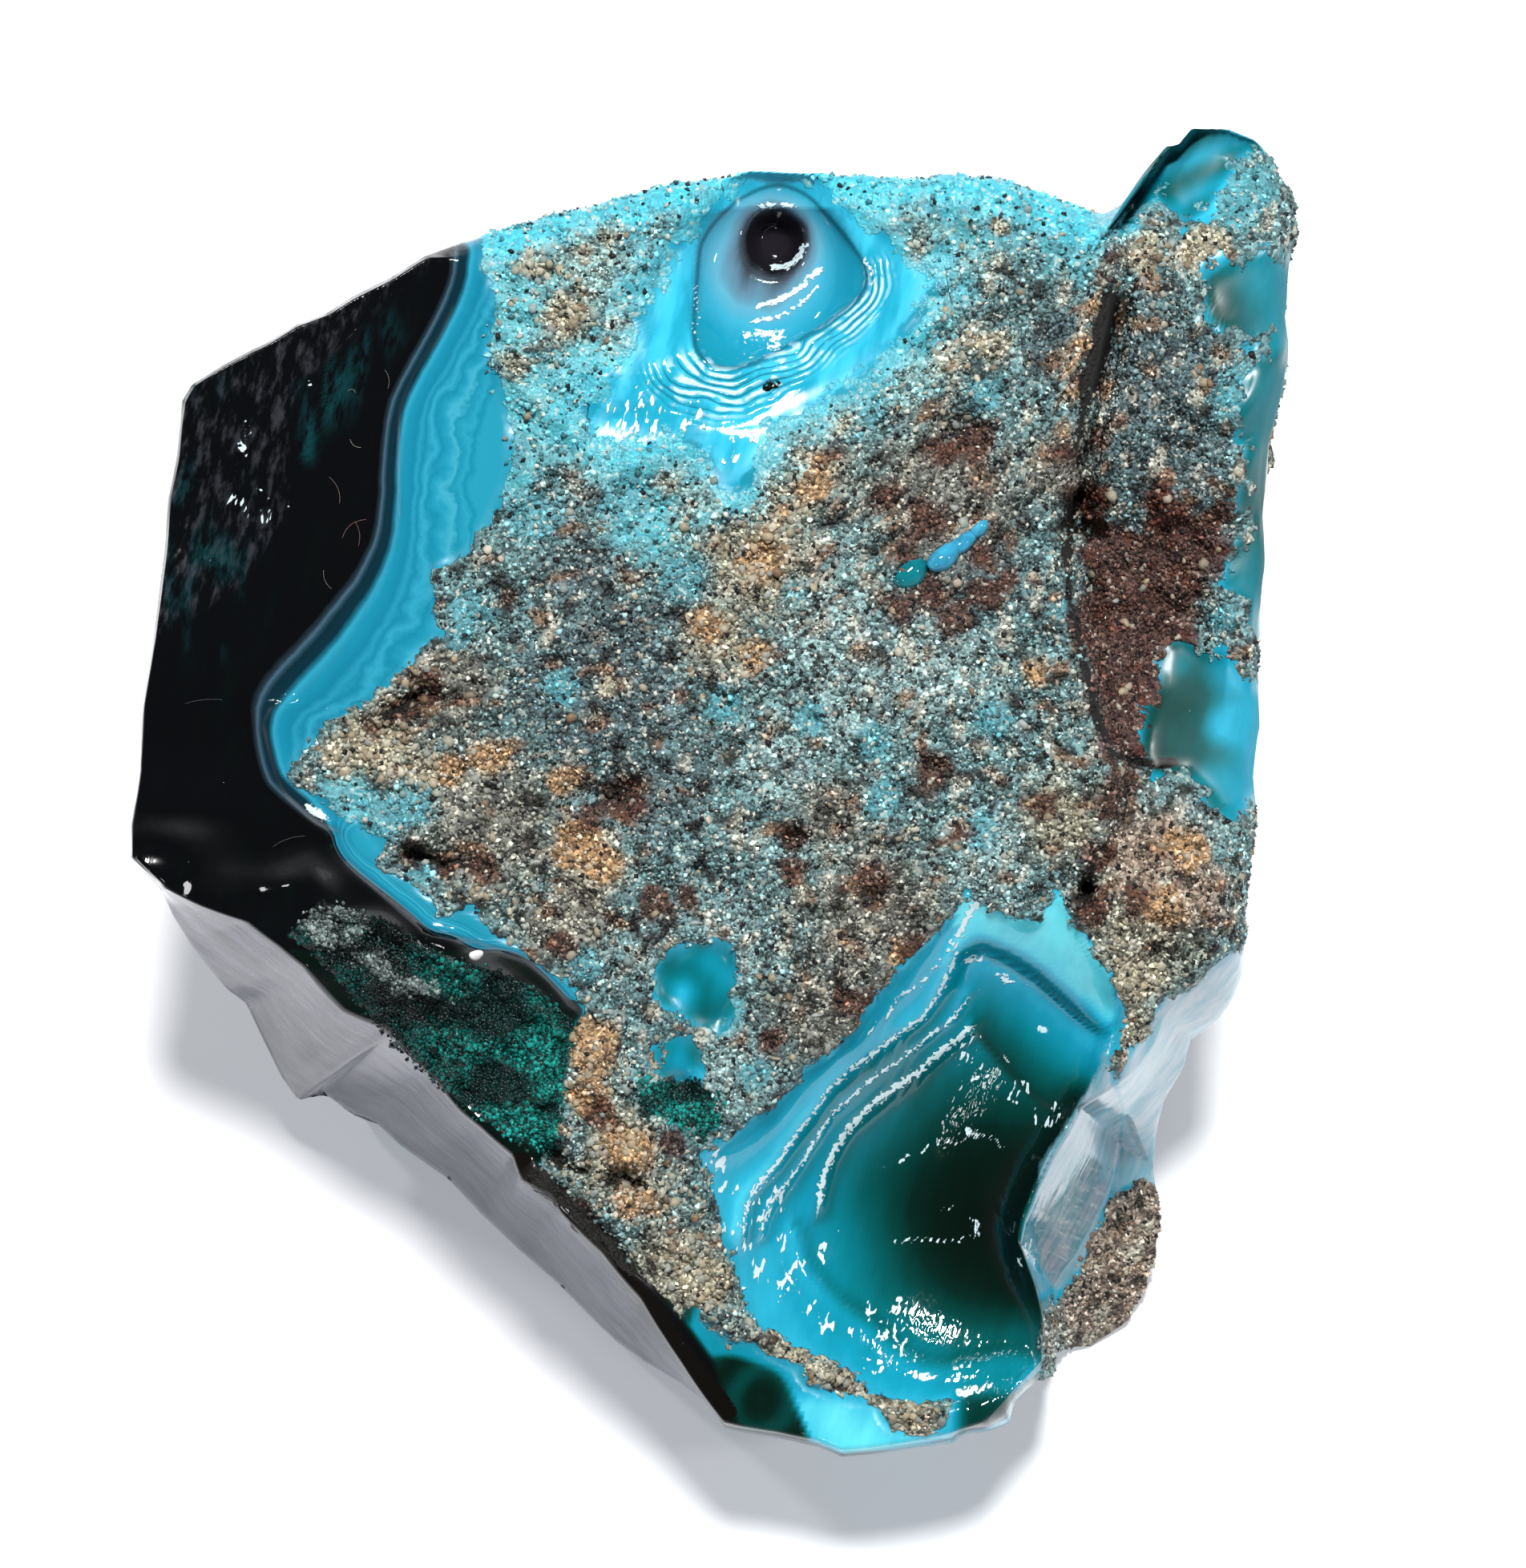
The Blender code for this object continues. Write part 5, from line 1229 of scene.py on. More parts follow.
# The bare skin beside the black glass: a pale line, a dark band, a bright line, then flowing turquoise.
skin_here = stone.sway(stone.number("skin"), medium, 0.1)
skin_wavy = stone.sway(skin_here, broad, stone.step(skin_here, 1.2, 4.5), 2.4)
# The pale line is a painted highlight on the bead at the edge of the black glass.
skin_lines = stone.ramp(stone.more(skin_wavy, 0.125, 0.125), [
    (0, BLACK_GLASS), (0.085, BLACK_GLASS), (0.12, (0.016, 0.032, 0.045)), (0.138, (0.055, 0.12, 0.17)),
    (0.156, (0.02, 0.06, 0.09)), (0.176, (0.004, 0.024, 0.038)), (0.238, (0.003, 0.026, 0.042)),
    (0.264, (0.01, 0.14, 0.21)), (0.285, (0.028, 0.33, 0.48)), (0.33, (0.01, 0.25, 0.38)),
    (0.42, (0.007, 0.21, 0.33)), (0.46, (0.02, 0.29, 0.43)), (0.5, (0.008, 0.22, 0.34)),
    (0.56, (0.03, 0.34, 0.49)), (0.62, (0.008, 0.23, 0.35)), (0.7, (0.018, 0.3, 0.44)),
    (0.76, (0.05, 0.38, 0.52)), (0.8, (0.01, 0.25, 0.37)), (0.88, (0.022, 0.32, 0.45)),
    (0.93, (0.008, 0.24, 0.36)), (1, (0.018, 0.3, 0.43))])
glass = stone.mix(stone.step(stone.number("skin"), -0.9, -0.7), glass, skin_lines)

# The eye: a black pit with a smoky halo, a teal bowl with a dark line round it, painted highlights on folds
# outside.
eye_here = stone.sway(stone.number("eye"), streaky, 0.5)
bowl_colour = stone.ramp(stone.times(eye_here, 0.1), [
    (0, (0.016, 0.013, 0.018)), (0.205, (0.01, 0.009, 0.013)), (0.25, (0.05, 0.065, 0.085)),
    (0.29, (0.12, 0.24, 0.33)), (0.36, (0.12, 0.42, 0.57)), (0.47, (0.045, 0.4, 0.57)),
    (0.6, (0.012, 0.31, 0.46)), (0.8, (0.006, 0.27, 0.39)), (1, (0.012, 0.31, 0.45))])
outside = stone.mix(stone.step(streaky, 0.36, 0.66), (0.016, 0.4, 0.58), (0.05, 0.58, 0.82))
outside = stone.mix(stone.step(broad, 0.58, 0.72), outside, (0.012, 0.36, 0.53))
eye_colour = stone.mix(stone.step(stone.number("bowl"), -0.35, 0.35), outside, bowl_colour)
eye_line = stone.peak(stone.maths("ADD", stone.sway(stone.number("bowl"), medium, 0.12), -0.15), 0.3)
eye_colour = stone.mix(stone.times(eye_line, 0.75), eye_colour, (0.003, 0.1, 0.15))

# Painted highlights on the folds' crests and painted shade in their creases run side by side round the bowl.
FOLDS_APART = 0.62      # millimetres
around = stone.sway(stone.number("around"), stone.noise(4, 1, 0.4), 1.3)
around = stone.times(around, math.pi / FOLDS_APART)
folded = stone.maths("ABSOLUTE", stone.maths("SINE", around))
patchy = stone.step(stone.noise(1.9, 2, 0.5), 0.44, 0.56)
painted_fold_highlights = stone.times(stone.step(stone.sway(folded, fine, 0.4), 0.62, 0.88), patchy)
eye_colour = stone.mix(stone.times(painted_fold_highlights, stone.number("waves")), eye_colour, (0.62, 0.86, 0.93))
painted_crease_shade = stone.times(stone.step(folded, 0.3, 0.12), stone.number("waves"))
eye_colour = stone.mix(stone.times(painted_crease_shade, 0.8), eye_colour, (0.004, 0.16, 0.23))
in_smear = stone.ragged(stone.sway(stone.number("smear"), medium, 1.5), fine, 0.6, -0.3, 0.3)
glass = stone.mix(in_smear, glass, eye_colour)

# The thin side of the hollow and the pale side beyond it, lavender as painted reflection of the white table.
lavender = stone.mix(stone.step(streaky, 0.35, 0.65), (0.36, 0.44, 0.52), (0.12, 0.33, 0.4))
lavender = stone.mix(stone.step(fine, 0.66, 0.74), lavender, (0.03, 0.08, 0.09))
glass = stone.mix(stone.ragged(stone.number("thin_side"), fine, 0.3, -0.2, 0.2), glass, lavender)
pale = stone.mix(stone.step(streaky, 0.3, 0.7), (0.48, 0.56, 0.62), (0.17, 0.42, 0.52))
glass = stone.mix(stone.ragged(stone.number("pale_side"), fine, 0.3, -0.2, 0.2), glass, pale)
# The steep side at the lower left: lavender grey streaks as painted reflection, paler near its top edge.
drawn_out = stone.noise(0.9, 4, 0.6, along=(0.8, -0.6), longer=9)
cliff_sheen = stone.mix(stone.step(drawn_out, 0.32, 0.68), (0.02, 0.021, 0.034), (0.115, 0.12, 0.175))
cliff_sheen = stone.mix(stone.step(stone.number("cliff"), 2, 9), cliff_sheen, (0.03, 0.031, 0.044))
cliff_sheen = stone.mix(stone.step(fine, 0.66, 0.78), cliff_sheen, (0.02, 0.02, 0.03))
glass = stone.mix(stone.ragged(stone.number("cliff"), fine, 0.2, 0, 0.4), glass, cliff_sheen)

# The far part of the black glass is scuffed grey.
scuffs = stone.noise(0.7, 4, 0.65, along=(0.25, 0.97), longer=3)
hackle = stone.times(stone.step(stone.number("bend"), -0.2, 1.2),
                     stone.step(stone.number("skin"), 0, -0.1))
teal_here = stone.times(stone.step(scuffs, 0.36, 0.6), stone.number("teal_window"))
glass = stone.mix(teal_here, glass, (0.004, 0.045, 0.052))
scuffed = stone.times(stone.step(scuffs, 0.47, 0.68), hackle)
glass = stone.mix(stone.times(scuffed, 0.6), glass, (0.04, 0.042, 0.052))

# Chips and beads with painted highlights, on the long folds of the hollow most of all.
beads = stone.noise(0.36, 1, 0.5)
folds_here = [stone.maths("SUBTRACT", width, stone.maths("ABSOLUTE", stone.number(f"fold_{k}")))
              for k, width in ((1, 0.13), (2, 0.09), (3, 0.22))]
folds_here = stone.maths("MAXIMUM", stone.maths("MAXIMUM", folds_here[0], folds_here[1]), folds_here[2])
on_folds = stone.times(stone.ragged(folds_here, beads, 0.5, -0.02, 0.06), stone.number("folds"))
strokes = stone.noise(0.42, 1, 0.5, along=(0.3, 0.95), longer=2.6, warp=0.3)
glint_chips = stone.ragged(stone.number("glint_cluster"), strokes, 1.5, 0.98, 1.08)
glint_chips = stone.maths("MAXIMUM", glint_chips, stone.ragged(stone.number("glint"), beads, 0.34, 0, 0.08))
painted_highlights = stone.maths("MAXIMUM", glint_chips, on_folds)

# The sugary zone: dark green glass under crystals, with a pale streak.
sugar = stone.mix(stone.step(fine, 0.46, 0.62), (0.001, 0.01, 0.009), (0.003, 0.065, 0.055))
pale_here = stone.ragged(stone.number("pale_sugar"), fine, 1.6, 0.8, 0.1)
sugar = stone.mix(stone.times(pale_here, 0.45), sugar, (0.06, 0.1, 0.1))
in_sugar = stone.ragged(stone.number("sugar"), fine, 0.7, -0.2, 0.3)
glass = stone.mix(in_sugar, glass, sugar)
# Painted highlights: the chips, beads and fold crests turned near white.
glass = stone.mix(painted_highlights, glass, (0.74, 0.92, 0.96))

# The crust: its own colour at each place, broken up grain by grain, with painted shade in its dips.
sandy = stone.ragged(stone.sway(stone.number("crust"), medium, 1.5), fine, 0.55, -0.08, 0.08)
CELL = 0.3              # millimetres across each grain in the crust's finish
cells = stone.node("ShaderNodeTexVoronoi", {"Vector": stone.place, "Scale": 1 / (CELL * MM)})
grain = stone.node("ShaderNodeSeparateColor", (cells.outputs["Color"],)).outputs[0]
shade = stone.ramp(grain, [(0, 0.08), (0.12, 0.3), (0.35, 0.72), (0.6, 1.08), (0.85, 1.6), (1, 2.2)])
tone = stone.tint("sand_shade")
parts = stone.node("ShaderNodeSeparateColor", (tone,))
glazed = stone.step(stone.maths("SUBTRACT", parts.outputs[2], parts.outputs[0]), 0.12, 0.4)
shade = stone.mix(stone.times(glazed, 0.7), shade, (1, 1, 1))
matrix = stone.mix(0.95, tone, shade, "MULTIPLY")
# Painted shade: the crust darkened in the dips of its grain relief, less where it is glazed.
painted_dip_shade = stone.times(stone.step(fine, 0.44, 0.33), stone.blend(glazed, 0.75, 0.2))
matrix = stone.mix(painted_dip_shade, matrix, (0.02, 0.022, 0.02))
matrix = stone.mix(stone.times(stone.step(grain, 0.92, 0.95), 0.6), matrix, (0.55, 0.53, 0.44))
colour = stone.mix(sandy, glass, matrix)
# Painted shadow: the slots go black.
in_slot_shadow = stone.ragged(stone.number("slot_shadow"), fine, 0.6, -0.05, 0.12)
colour = stone.mix(in_slot_shadow, colour, (0.005, 0.004, 0.003))

# Relief too fine for the mesh, in millimetres: beads on the long folds, the folds round the bowl,
# chips, and the grains of the crust.
glass_relief = stone.times(on_folds, 0.1)
glass_relief = stone.more(stone.times(folded, stone.number("waves")), 0.16, glass_relief)
glass_relief = stone.more(glint_chips, 0.08, glass_relief)
glass_relief = stone.more(streaky, 0.03, glass_relief)
glass_relief = stone.more(stone.times(strokes, stone.number("crazed")), 0.11, glass_relief)
glass_relief = stone.more(stone.times(scuffs, hackle), 0.05, glass_relief)
crust_relief = stone.more(fine, 0.5, stone.times(cells.outputs["Distance"], -0.2))
crust_relief = stone.times(crust_relief, stone.blend(glazed, 1, 0.35))
rough_ground = stone.maths("MAXIMUM", sandy, in_sugar)
relief_here = stone.blend(rough_ground, glass_relief, crust_relief)
bump = stone.node("ShaderNodeBump", {"Strength": 1, "Distance": MM, "Height": relief_here})
frosted = stone.ragged(stone.number("frost"), fine, 0.4, -0.2, 0.2)
glass_rough = stone.blend(stone.step(medium, 0.4, 0.7), 0.04, 0.1)
glass_rough = stone.blend(scuffed, glass_rough, 0.3)
glass_rough = stone.blend(frosted, glass_rough, 0.8)
glass_rough = stone.blend(stone.step(stone.number("crust"), -1, -0.2), glass_rough, 0.32)
sand_rough = stone.blend(sandy, 0.3, stone.blend(glazed, 0.75, 0.38))
roughness = stone.blend(rough_ground, glass_rough, sand_rough)
stone.lay_on(lump, {"Base Color": colour, "Roughness": roughness, "Normal": bump.outputs[0], "IOR": 1.52})
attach(lump, "root")
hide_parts("turquoise_stone")

# ----------
# The sand. Loose grains of quartz, feldspar and dark ore, a quarter to half a millimetre across, that
# stuck to the hot glass. Each is an eight-sided chip, sunk nearly halfway into the crust.
OCTAHEDRON = (
    np.array([(1, 0, 0), (-1, 0, 0), (0, 1, 0), (0, -1, 0), (0, 0, 1), (0, 0, -1)], float),
    np.array([(0, 2, 4), (2, 1, 4), (1, 3, 4), (3, 0, 4), (2, 0, 5), (1, 2, 5), (3, 1, 5), (0, 3, 5)]))
FINE_GRAINS = 24000     # in each of the three meshes that they are joined in
FINE_SIZE = (0.11, 0.28)  # half a grain's width, in millimetres, from the least to the most


def scatter(count, weight, rng):
    """Random places on the lump: a face by its area times weight, then a point inside that face."""
    faces = np.concatenate([quads[:, [0, 1, 2]], quads[:, [0, 2, 3]], triangles])
    corners = points[faces]
    area = np.linalg.norm(np.cross(corners[:, 1] - corners[:, 0], corners[:, 2] - corners[:, 0]), axis=1)
    chance = np.cumsum(area * weight[faces].mean(axis=1))
    picked = faces[np.searchsorted(chance, rng.uniform(0, chance[-1], count))]
    u, v = rng.uniform(size=(2, count))
    u, v = np.where(u + v > 1, 1 - u, u), np.where(u + v > 1, 1 - v, v)
    share = np.stack([1 - u - v, u, v], axis=1)
    return picked, share


def at(values, picked, share):
    """A number or vector of the lump's points, read at scattered places."""
    if values.ndim == 1:
        return (values[picked] * share).sum(axis=1)
    return (values[picked] * share[:, :, None]).sum(axis=1)


def random_turns(count, rng):
    """The 3 x 3 matrices of unit quaternions w, x, y, z drawn evenly from the sphere."""
    drawn_evenly = rng.normal(size=(4, count))
    w, x, y, z = drawn_evenly / np.linalg.norm(drawn_evenly, axis=0)
    return np.stack([
        1 - 2 * (y * y + z * z), 2 * (x * y - z * w), 2 * (x * z + y * w),
        2 * (x * y + z * w), 1 - 2 * (x * x + z * z), 2 * (y * z - x * w),
        2 * (x * z - y * w), 2 * (y * z + x * w), 1 - 2 * (x * x + y * y)], axis=1).reshape(count, 3, 3)


def chips(name, solid, middles, sizes, colours, rng, uneven=0.45):
    """Copies of one small solid, each stretched unevenly, dented, turned and set at its own place."""
    corners, sides = solid
    count = len(middles)
    stretch = rng.uniform(1 - uneven, 1 + uneven, (count, 1, 3))
    knocks = rng.normal(0, 0.12, (count, len(corners), 3))
    shapes = (corners[None] * stretch + knocks) * sizes[:, None, None]
    places = np.einsum("nij,nkj->nki", random_turns(count, rng), shapes) + middles[:, None, :]
    faces = sides[None] + len(corners) * np.arange(count)[:, None, None]
    tints = np.repeat(colours, len(corners), axis=0)
    return mesh_of(name, places.reshape(-1, 3), [faces.reshape(-1, 3)], {"grain_colour": tints})


def sand_tints(picked, share, rng, pale=0.1, black=0.1):
    """A colour for each grain: the crust's own, varied by chance; a few are pale quartz or black ore."""
    count = len(picked)
    tints = at(sand_shade, picked, share)
    grey = tints.mean(axis=1, keepdims=True) * (1.05, 1, 0.88)
    tints = blend_to(tints, grey, rng.uniform(0, 0.35, (count, 1)))
    tints = tints * 0.96 * np.exp(rng.normal(0, 0.67, (count, 1)))
    draw = rng.uniform(size=(count, 1))
    quartz = rng.uniform(0.6, 1.35, (count, 1)) * (0.68, 0.67, 0.57)
    clean = 0.12 + 0.88 * rise(0.05, 0.18, at(sand_shade, picked, share).mean(axis=1, keepdims=True))
    tints = np.where(draw < pale * clean, blend_to(tints, quartz, 0.8), tints)
    return np.where(draw > 1 - black, (0.012, 0.012, 0.013), tints)


# Clear grains are mottled: a share of their tint is multiplied by a grey that runs with noise from
# Darkest, where the noise is at Low, to Palest, where it is at High.
MOTTLING = bpy.data.node_groups.new("mottling", "ShaderNodeTree")
for socket in ("Noise", "Low", "High", "Darkest", "Palest", "Share"):
    MOTTLING.interface.new_socket(socket, in_out="INPUT", socket_type="NodeSocketFloat")
MOTTLING.interface.new_socket("Tint", in_out="INPUT", socket_type="NodeSocketColor")
MOTTLING.interface.new_socket("Colour", in_out="OUTPUT", socket_type="NodeSocketColor")
inner = Nodes(MOTTLING)
given = inner.node("NodeGroupInput").outputs
grey = inner.node("ShaderNodeMapRange", [given[k] for k in range(5)]).outputs[0]
inner.node("NodeGroupOutput", (inner.mix(given["Share"], given["Tint"], grey, "MULTIPLY"),))


def mottled(finish, tint, noise, low, high, darkest, palest, share):
    """A finish's own copy of the mottling, with its own values."""
    return finish.node("ShaderNodeGroup", {
        "Noise": noise, "Low": low, "High": high, "Darkest": darkest, "Palest": palest, "Share": share,
        "Tint": finish.tint(tint)}, node_tree=MOTTLING).outputs[0]


sand = Finish("quartz_sand")
mottle = sand.noise(0.25, 2, 0.6)
sand.fill(sand.shader, {
    "Base Color": mottled(sand, "grain_colour", mottle, 0.3, 0.7, 0.7, 1.25, 0.5),
    "Roughness": sand.blend(mottle, 0.3, 0.8), "IOR": 1.5, "Specular IOR Level": 0.3})

rng = np.random.default_rng(7)
crusted = rise(0, 0.7, crust) * rise(0.5, 2, points[:, 2])
crusted *= 1 - 0.7 * rise(0.12, 0.4, sand_shade[:, 2] - sand_shade[:, 0])
crusted *= rise(0.3, -0.1, ON_THE_STONE["slot_shadow"])


def lay_grains(name, solid, weight, count, size, sunk, tint, rng, uneven=0.45):
    """Scatter grains by weight, most of them small, their middles sunk by that share of their half width."""
    picked, share = scatter(count, weight, rng)
    sizes = size[0] + (size[1] - size[0]) * rng.uniform(size=count) ** 1.6
    middles = at(points, picked, share) - at(normals, picked, share) * (sunk * sizes)[:, None]
    grains = chips(name, solid, middles, sizes, tint(picked, share, rng), rng, uneven)
    sand.lay_on(grains)
    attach(grains, "root")
    return grains


for part in range(3):
    lay_grains(f"fine_sand_{part + 1}", OCTAHEDRON, crusted, FINE_GRAINS, FINE_SIZE, -0.1, sand_tints, rng)

# ----------
# Coarse sand. Rounded grains of quartz and feldspar, up to eight tenths of a millimetre across, fused
# into the crust where it is thick: at its lower left corner, under the hollow, in the tan patches.
COARSE_GRAINS = 2300
COARSE_SIZE = (0.18, 0.42)  # half a grain's width, in millimetres
COARSE_SPOTS = [
    (-3.5, -31, 3), (-6.5, -27, 2.6), (-9.4, -21, 2.6), (-2, -35.5, 2.4), (0, -38, 1.6),
    (4.5, -41.5, 1.6), (8.6, -43.6, 1.4), (14.5, -47.2, 2.4), (-25.5, 4, 2.6), (-23, 7.8, 1.8),
    (-22, 1.6, 2.2), (-27.6, 2.2, 1.6), (4, 16.5, 3.2), (1, 11, 2.6), (-11.5, 35.5, 2.6),
    (-13.5, 39.3, 1.8), (-18.4, -7.6, 1.4), (-15, -8.6, 1.3), (13.5, 40.5, 2), (18.5, 32.5, 2),
    (33.5, 40.5, 2.4), (30, -14, 2.4), (-12, -29, 1.6),
]


def ball(rows):
    """A unit ball of rings of six, each turned half a step from the last, with a point at either end."""
    rings = np.linspace(-0.62, 0.62, rows)
    turn = (np.arange(6) + 0.5 * np.arange(rows)[:, None]) * math.pi / 3
    out = np.sqrt(1 - rings ** 2)[:, None]
    corners = np.stack([out * np.cos(turn), out * np.sin(turn), rings[:, None] + 0 * turn], -1).reshape(-1, 3)
    corners = np.concatenate([corners, [(0, 0, -1), (0, 0, 1)]])
    grid = np.arange(6 * rows).reshape(rows, 6)
    after = np.roll(grid, -1, axis=1)
    sides = [np.stack([np.full(6, 6 * rows), after[0], grid[0]], -1),
             np.stack([np.full(6, 6 * rows + 1), grid[-1], after[-1]], -1)]
    for row in range(rows - 1):
        sides.append(np.stack([grid[row], after[row], grid[row + 1]], -1))
        sides.append(np.stack([after[row], after[row + 1], grid[row + 1]], -1))
    return corners, np.concatenate(sides)


def coarse_tints(picked, share, rng):
    """Buff, cream, clear grey and brown grains in turn by chance, part tinted by the crust they lie in."""
    kinds = np.array([(0.4, 0.33, 0.22), (0.55, 0.5, 0.39), (0.34, 0.37, 0.34), (0.24, 0.15, 0.085)])
    chosen = kinds[rng.choice(4, len(picked), p=(0.36, 0.3, 0.22, 0.12))]
    tints = blend_to(chosen, at(sand_shade, picked, share), rng.uniform(0, 0.55, (len(picked), 1)))
    return tints * rng.uniform(0.7, 1.15, (len(picked), 1))


coarse = crusted * blend_to(0.05, soft_spots(COARSE_SPOTS, a, b) + 0.05, face_only)
lay_grains("coarse_sand", ball(2), coarse, COARSE_GRAINS, COARSE_SIZE, 0.15, coarse_tints, rng, 0.42)

# ----------
# Green crystals. Where the glass has gone sugary it ends in clear emerald grains, and in a streak of
# pale ones. They are the glass itself, crystallised as it cooled, and are still part of the lump.
CRYSTALS = 8000
CRYSTAL_SIZE = (0.12, 0.3)   # half a crystal's width, in millimetres


def crystal_tints(picked, share, rng):
    """Deep green to emerald by chance, and pale grey green along the streak."""
    count = len(picked)
    places = at(points, picked, share)
    clear = rise(-0.5, 0.8, ripple(places, 4.5, 72))[:, None] * rng.uniform(size=(count, 1)) ** 1.4
    green = blend_to(np.array((0.001, 0.01, 0.009)), (0.006, 0.26, 0.22), clear)
    green *= blend_to(0.35, 1.5, rise(-24, -15, at(drawn[:, 0], picked, share))[:, None])
    pale = rng.uniform(0.3, 1.3, (count, 1)) * (0.34, 0.42, 0.4)
    near = at(ON_THE_STONE["pale_sugar"], picked, share) + rng.normal(0, 0.35, count)
    near = rise(0.9, 0, near + 0.8 * ripple(places, 3.5, 73))
    return blend_to(green, pale, 0.8 * near[:, None])


sugary = rise(-0.6, 0.5, ON_THE_STONE["sugar"])
crystals = lay_grains("green_crystals", OCTAHEDRON, sugary, CRYSTALS, CRYSTAL_SIZE, 0.2,
                      crystal_tints, rng, 0.35)
crystal = Finish("green_crystal")
cloudy = crystal.noise(0.3, 2, 0.5)
crystal.lay_on(crystals, {
    "Base Color": mottled(crystal, "grain_colour", cloudy, 0.3, 0.7, 0.6, 1.4, 0.6),
    "Roughness": crystal.blend(crystal.noise(0.5), 0.05, 0.3), "IOR": 1.55, "Specular IOR Level": 0.28})

# ----------
# Drops. Four beads of teal and blue glass in a row, and a white bead of melted quartz at the left
# edge. They splashed on the crust while it was soft, and stand out of it as smooth domes.
# a, b, half length, half width, height, turn in degrees, colour.
DROPS = [
    (14.6, 15.9, 1.45, 1.2, 1, 40, (0.006, 0.2, 0.24)),
    (17.2, 17.5, 1.35, 0.95, 0.9, 40, (0.04, 0.33, 0.52)),
    (18.5, 18.5, 1.3, 0.7, 0.8, 38, (0.04, 0.33, 0.54)),
    (19.8, 19.3, 0.8, 0.55, 0.6, 30, (0.05, 0.36, 0.56)),
    (-17.7, -12.3, 0.55, 0.45, 0.45, 10, (0.85, 0.85, 0.83)),
]
DROP_ROWS = 14          # points from a drop's top down to its foot
DROP_COLUMNS = 28       # points round it


def on_face(spot_a, spot_b):
    """The lump's point nearest to a drawn place, and its surface's two directions and normal there."""
    nearest = np.argmin((drawn[:, 0] - spot_a) ** 2 + (drawn[:, 1] - spot_b) ** 2 + 1e6 * way_down)
    upward = normals[nearest]
    across = np.cross((0, 1, 0), upward)
    across /= np.linalg.norm(across)
    return points[nearest], np.stack([across, np.cross(upward, across), upward])


def drop_surface(spot_a, spot_b, length, width, height, turn):
    """An oval dome with a rounded foot: rings that follow a circle's arc from its top down to its foot."""
    arc = np.linspace(math.pi / 2, -0.6, DROP_ROWS)[1:]
    turns = np.arange(DROP_COLUMNS) * 2 * math.pi / DROP_COLUMNS
    out = np.cos(arc)[:, None]
    uneven = 1 + 0.1 * np.sin(2 * turns + 1) + 0.05 * np.sin(3 * turns)
    u, v = length * out * np.cos(turns) * uneven, width * out * np.sin(turns) * uneven
    w = height * np.sin(arc)[:, None] + 0 * turns
    cosine, sine = math.cos(math.radians(turn)), math.sin(math.radians(turn))
    local = np.stack([u * cosine - v * sine, u * sine + v * cosine, w], -1).reshape(-1, 3)
    local = np.concatenate([local, [(0, 0, height), (0, 0, local[-1, 2])]])
    foot, axes = on_face(spot_a, spot_b)
    grid = np.arange((DROP_ROWS - 1) * DROP_COLUMNS).reshape(-1, DROP_COLUMNS)
    after = np.roll(grid, -1, axis=1)
    sides = np.stack([grid[:-1], grid[1:], after[1:], after[:-1]], -1).reshape(-1, 4)
    top, base = len(local) - 2, len(local) - 1
    caps = np.concatenate([np.stack([np.full(DROP_COLUMNS, top), grid[0], after[0]], -1),
                           np.stack([np.full(DROP_COLUMNS, base), after[-1], grid[-1]], -1)])
    return foot + local @ axes, sides, caps


places, sides, caps, tints = [], [], [], []
for *shape, tint in DROPS:
    drop, drop_sides, drop_caps = drop_surface(*shape)
    sides.append(drop_sides + sum(len(p) for p in places))
    caps.append(drop_caps + sum(len(p) for p in places))
    places.append(drop)
    tints.append(np.tile(tint, (len(drop), 1)))
drops = mesh_of("glass_drops", np.concatenate(places), [np.concatenate(sides), np.concatenate(caps)],
                {"drop_colour": np.concatenate(tints)})
drops.data.shade_smooth()
drop_glass = Finish("drop_glass")
swirl = drop_glass.noise(1.2, 2, 0.5, warp=0.6)
drop_glass.lay_on(drops, {
    "Base Color": mottled(drop_glass, "drop_colour", swirl, 0.35, 0.65, 0.6, 1.3, 0.7), "Roughness": 0.06})
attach(drops, "root")

# ----------
# Lint. Fine hairs of wool and dust, shed on the finished stone. They lie on the black glass and in
# the crack, held by nothing but their own weight, and each is a thin four-sided tube.
# Ends as a and b, the sag of the hair sideways, and its colour.
HAIRS = [
    ((-28.8, 23.4), (-28, 21.4), 0.3, (0.2, 0.14, 0.13)),
    ((-27.8, 18.8), (-26, 20.2), 0.4, (0.28, 0.12, 0.12)),
    ((-26.8, 20), (-26.6, 18.2), 0.2, (0.2, 0.1, 0.1)),
    ((-29.2, 16.4), (-28.6, 15), -0.2, (0.2, 0.17, 0.16)),
    ((-24.6, 31.4), (-24.4, 30), 0.2, (0.2, 0.2, 0.21)),
    ((-27.4, 29.8), (-26.8, 29.7), 0.2, (0.25, 0.22, 0.2)),
    ((-27.2, 26.2), (-26.4, 25.6), -0.2, (0.32, 0.28, 0.24)),
    ((-39.6, 6.4), (-36.8, 6.7), 0.15, (0.08, 0.08, 0.1)),
    ((-33, -4.3), (-30.6, -3.5), 0.2, (0.09, 0.08, 0.08)),
    ((26.4, 20), (28.2, 17.4), 0.5, (0.6, 0.38, 0.12)),
    ((26, 18.4), (27.4, 21), -0.4, (0.6, 0.42, 0.16)),
    ((17.4, 39), (19, 33.4), -0.3, (0.02, 0.02, 0.02)),
]
HAIR_WIDTH = 0.035      # millimetres
HAIR_RINGS = 15         # rings of four points along each hair
HAIR_CLEARANCE = 0.12   # millimetres between the middle of a hair and the surface
FACE_OUT = (0, -0.34, 0.94)  # straight out of the leaning face


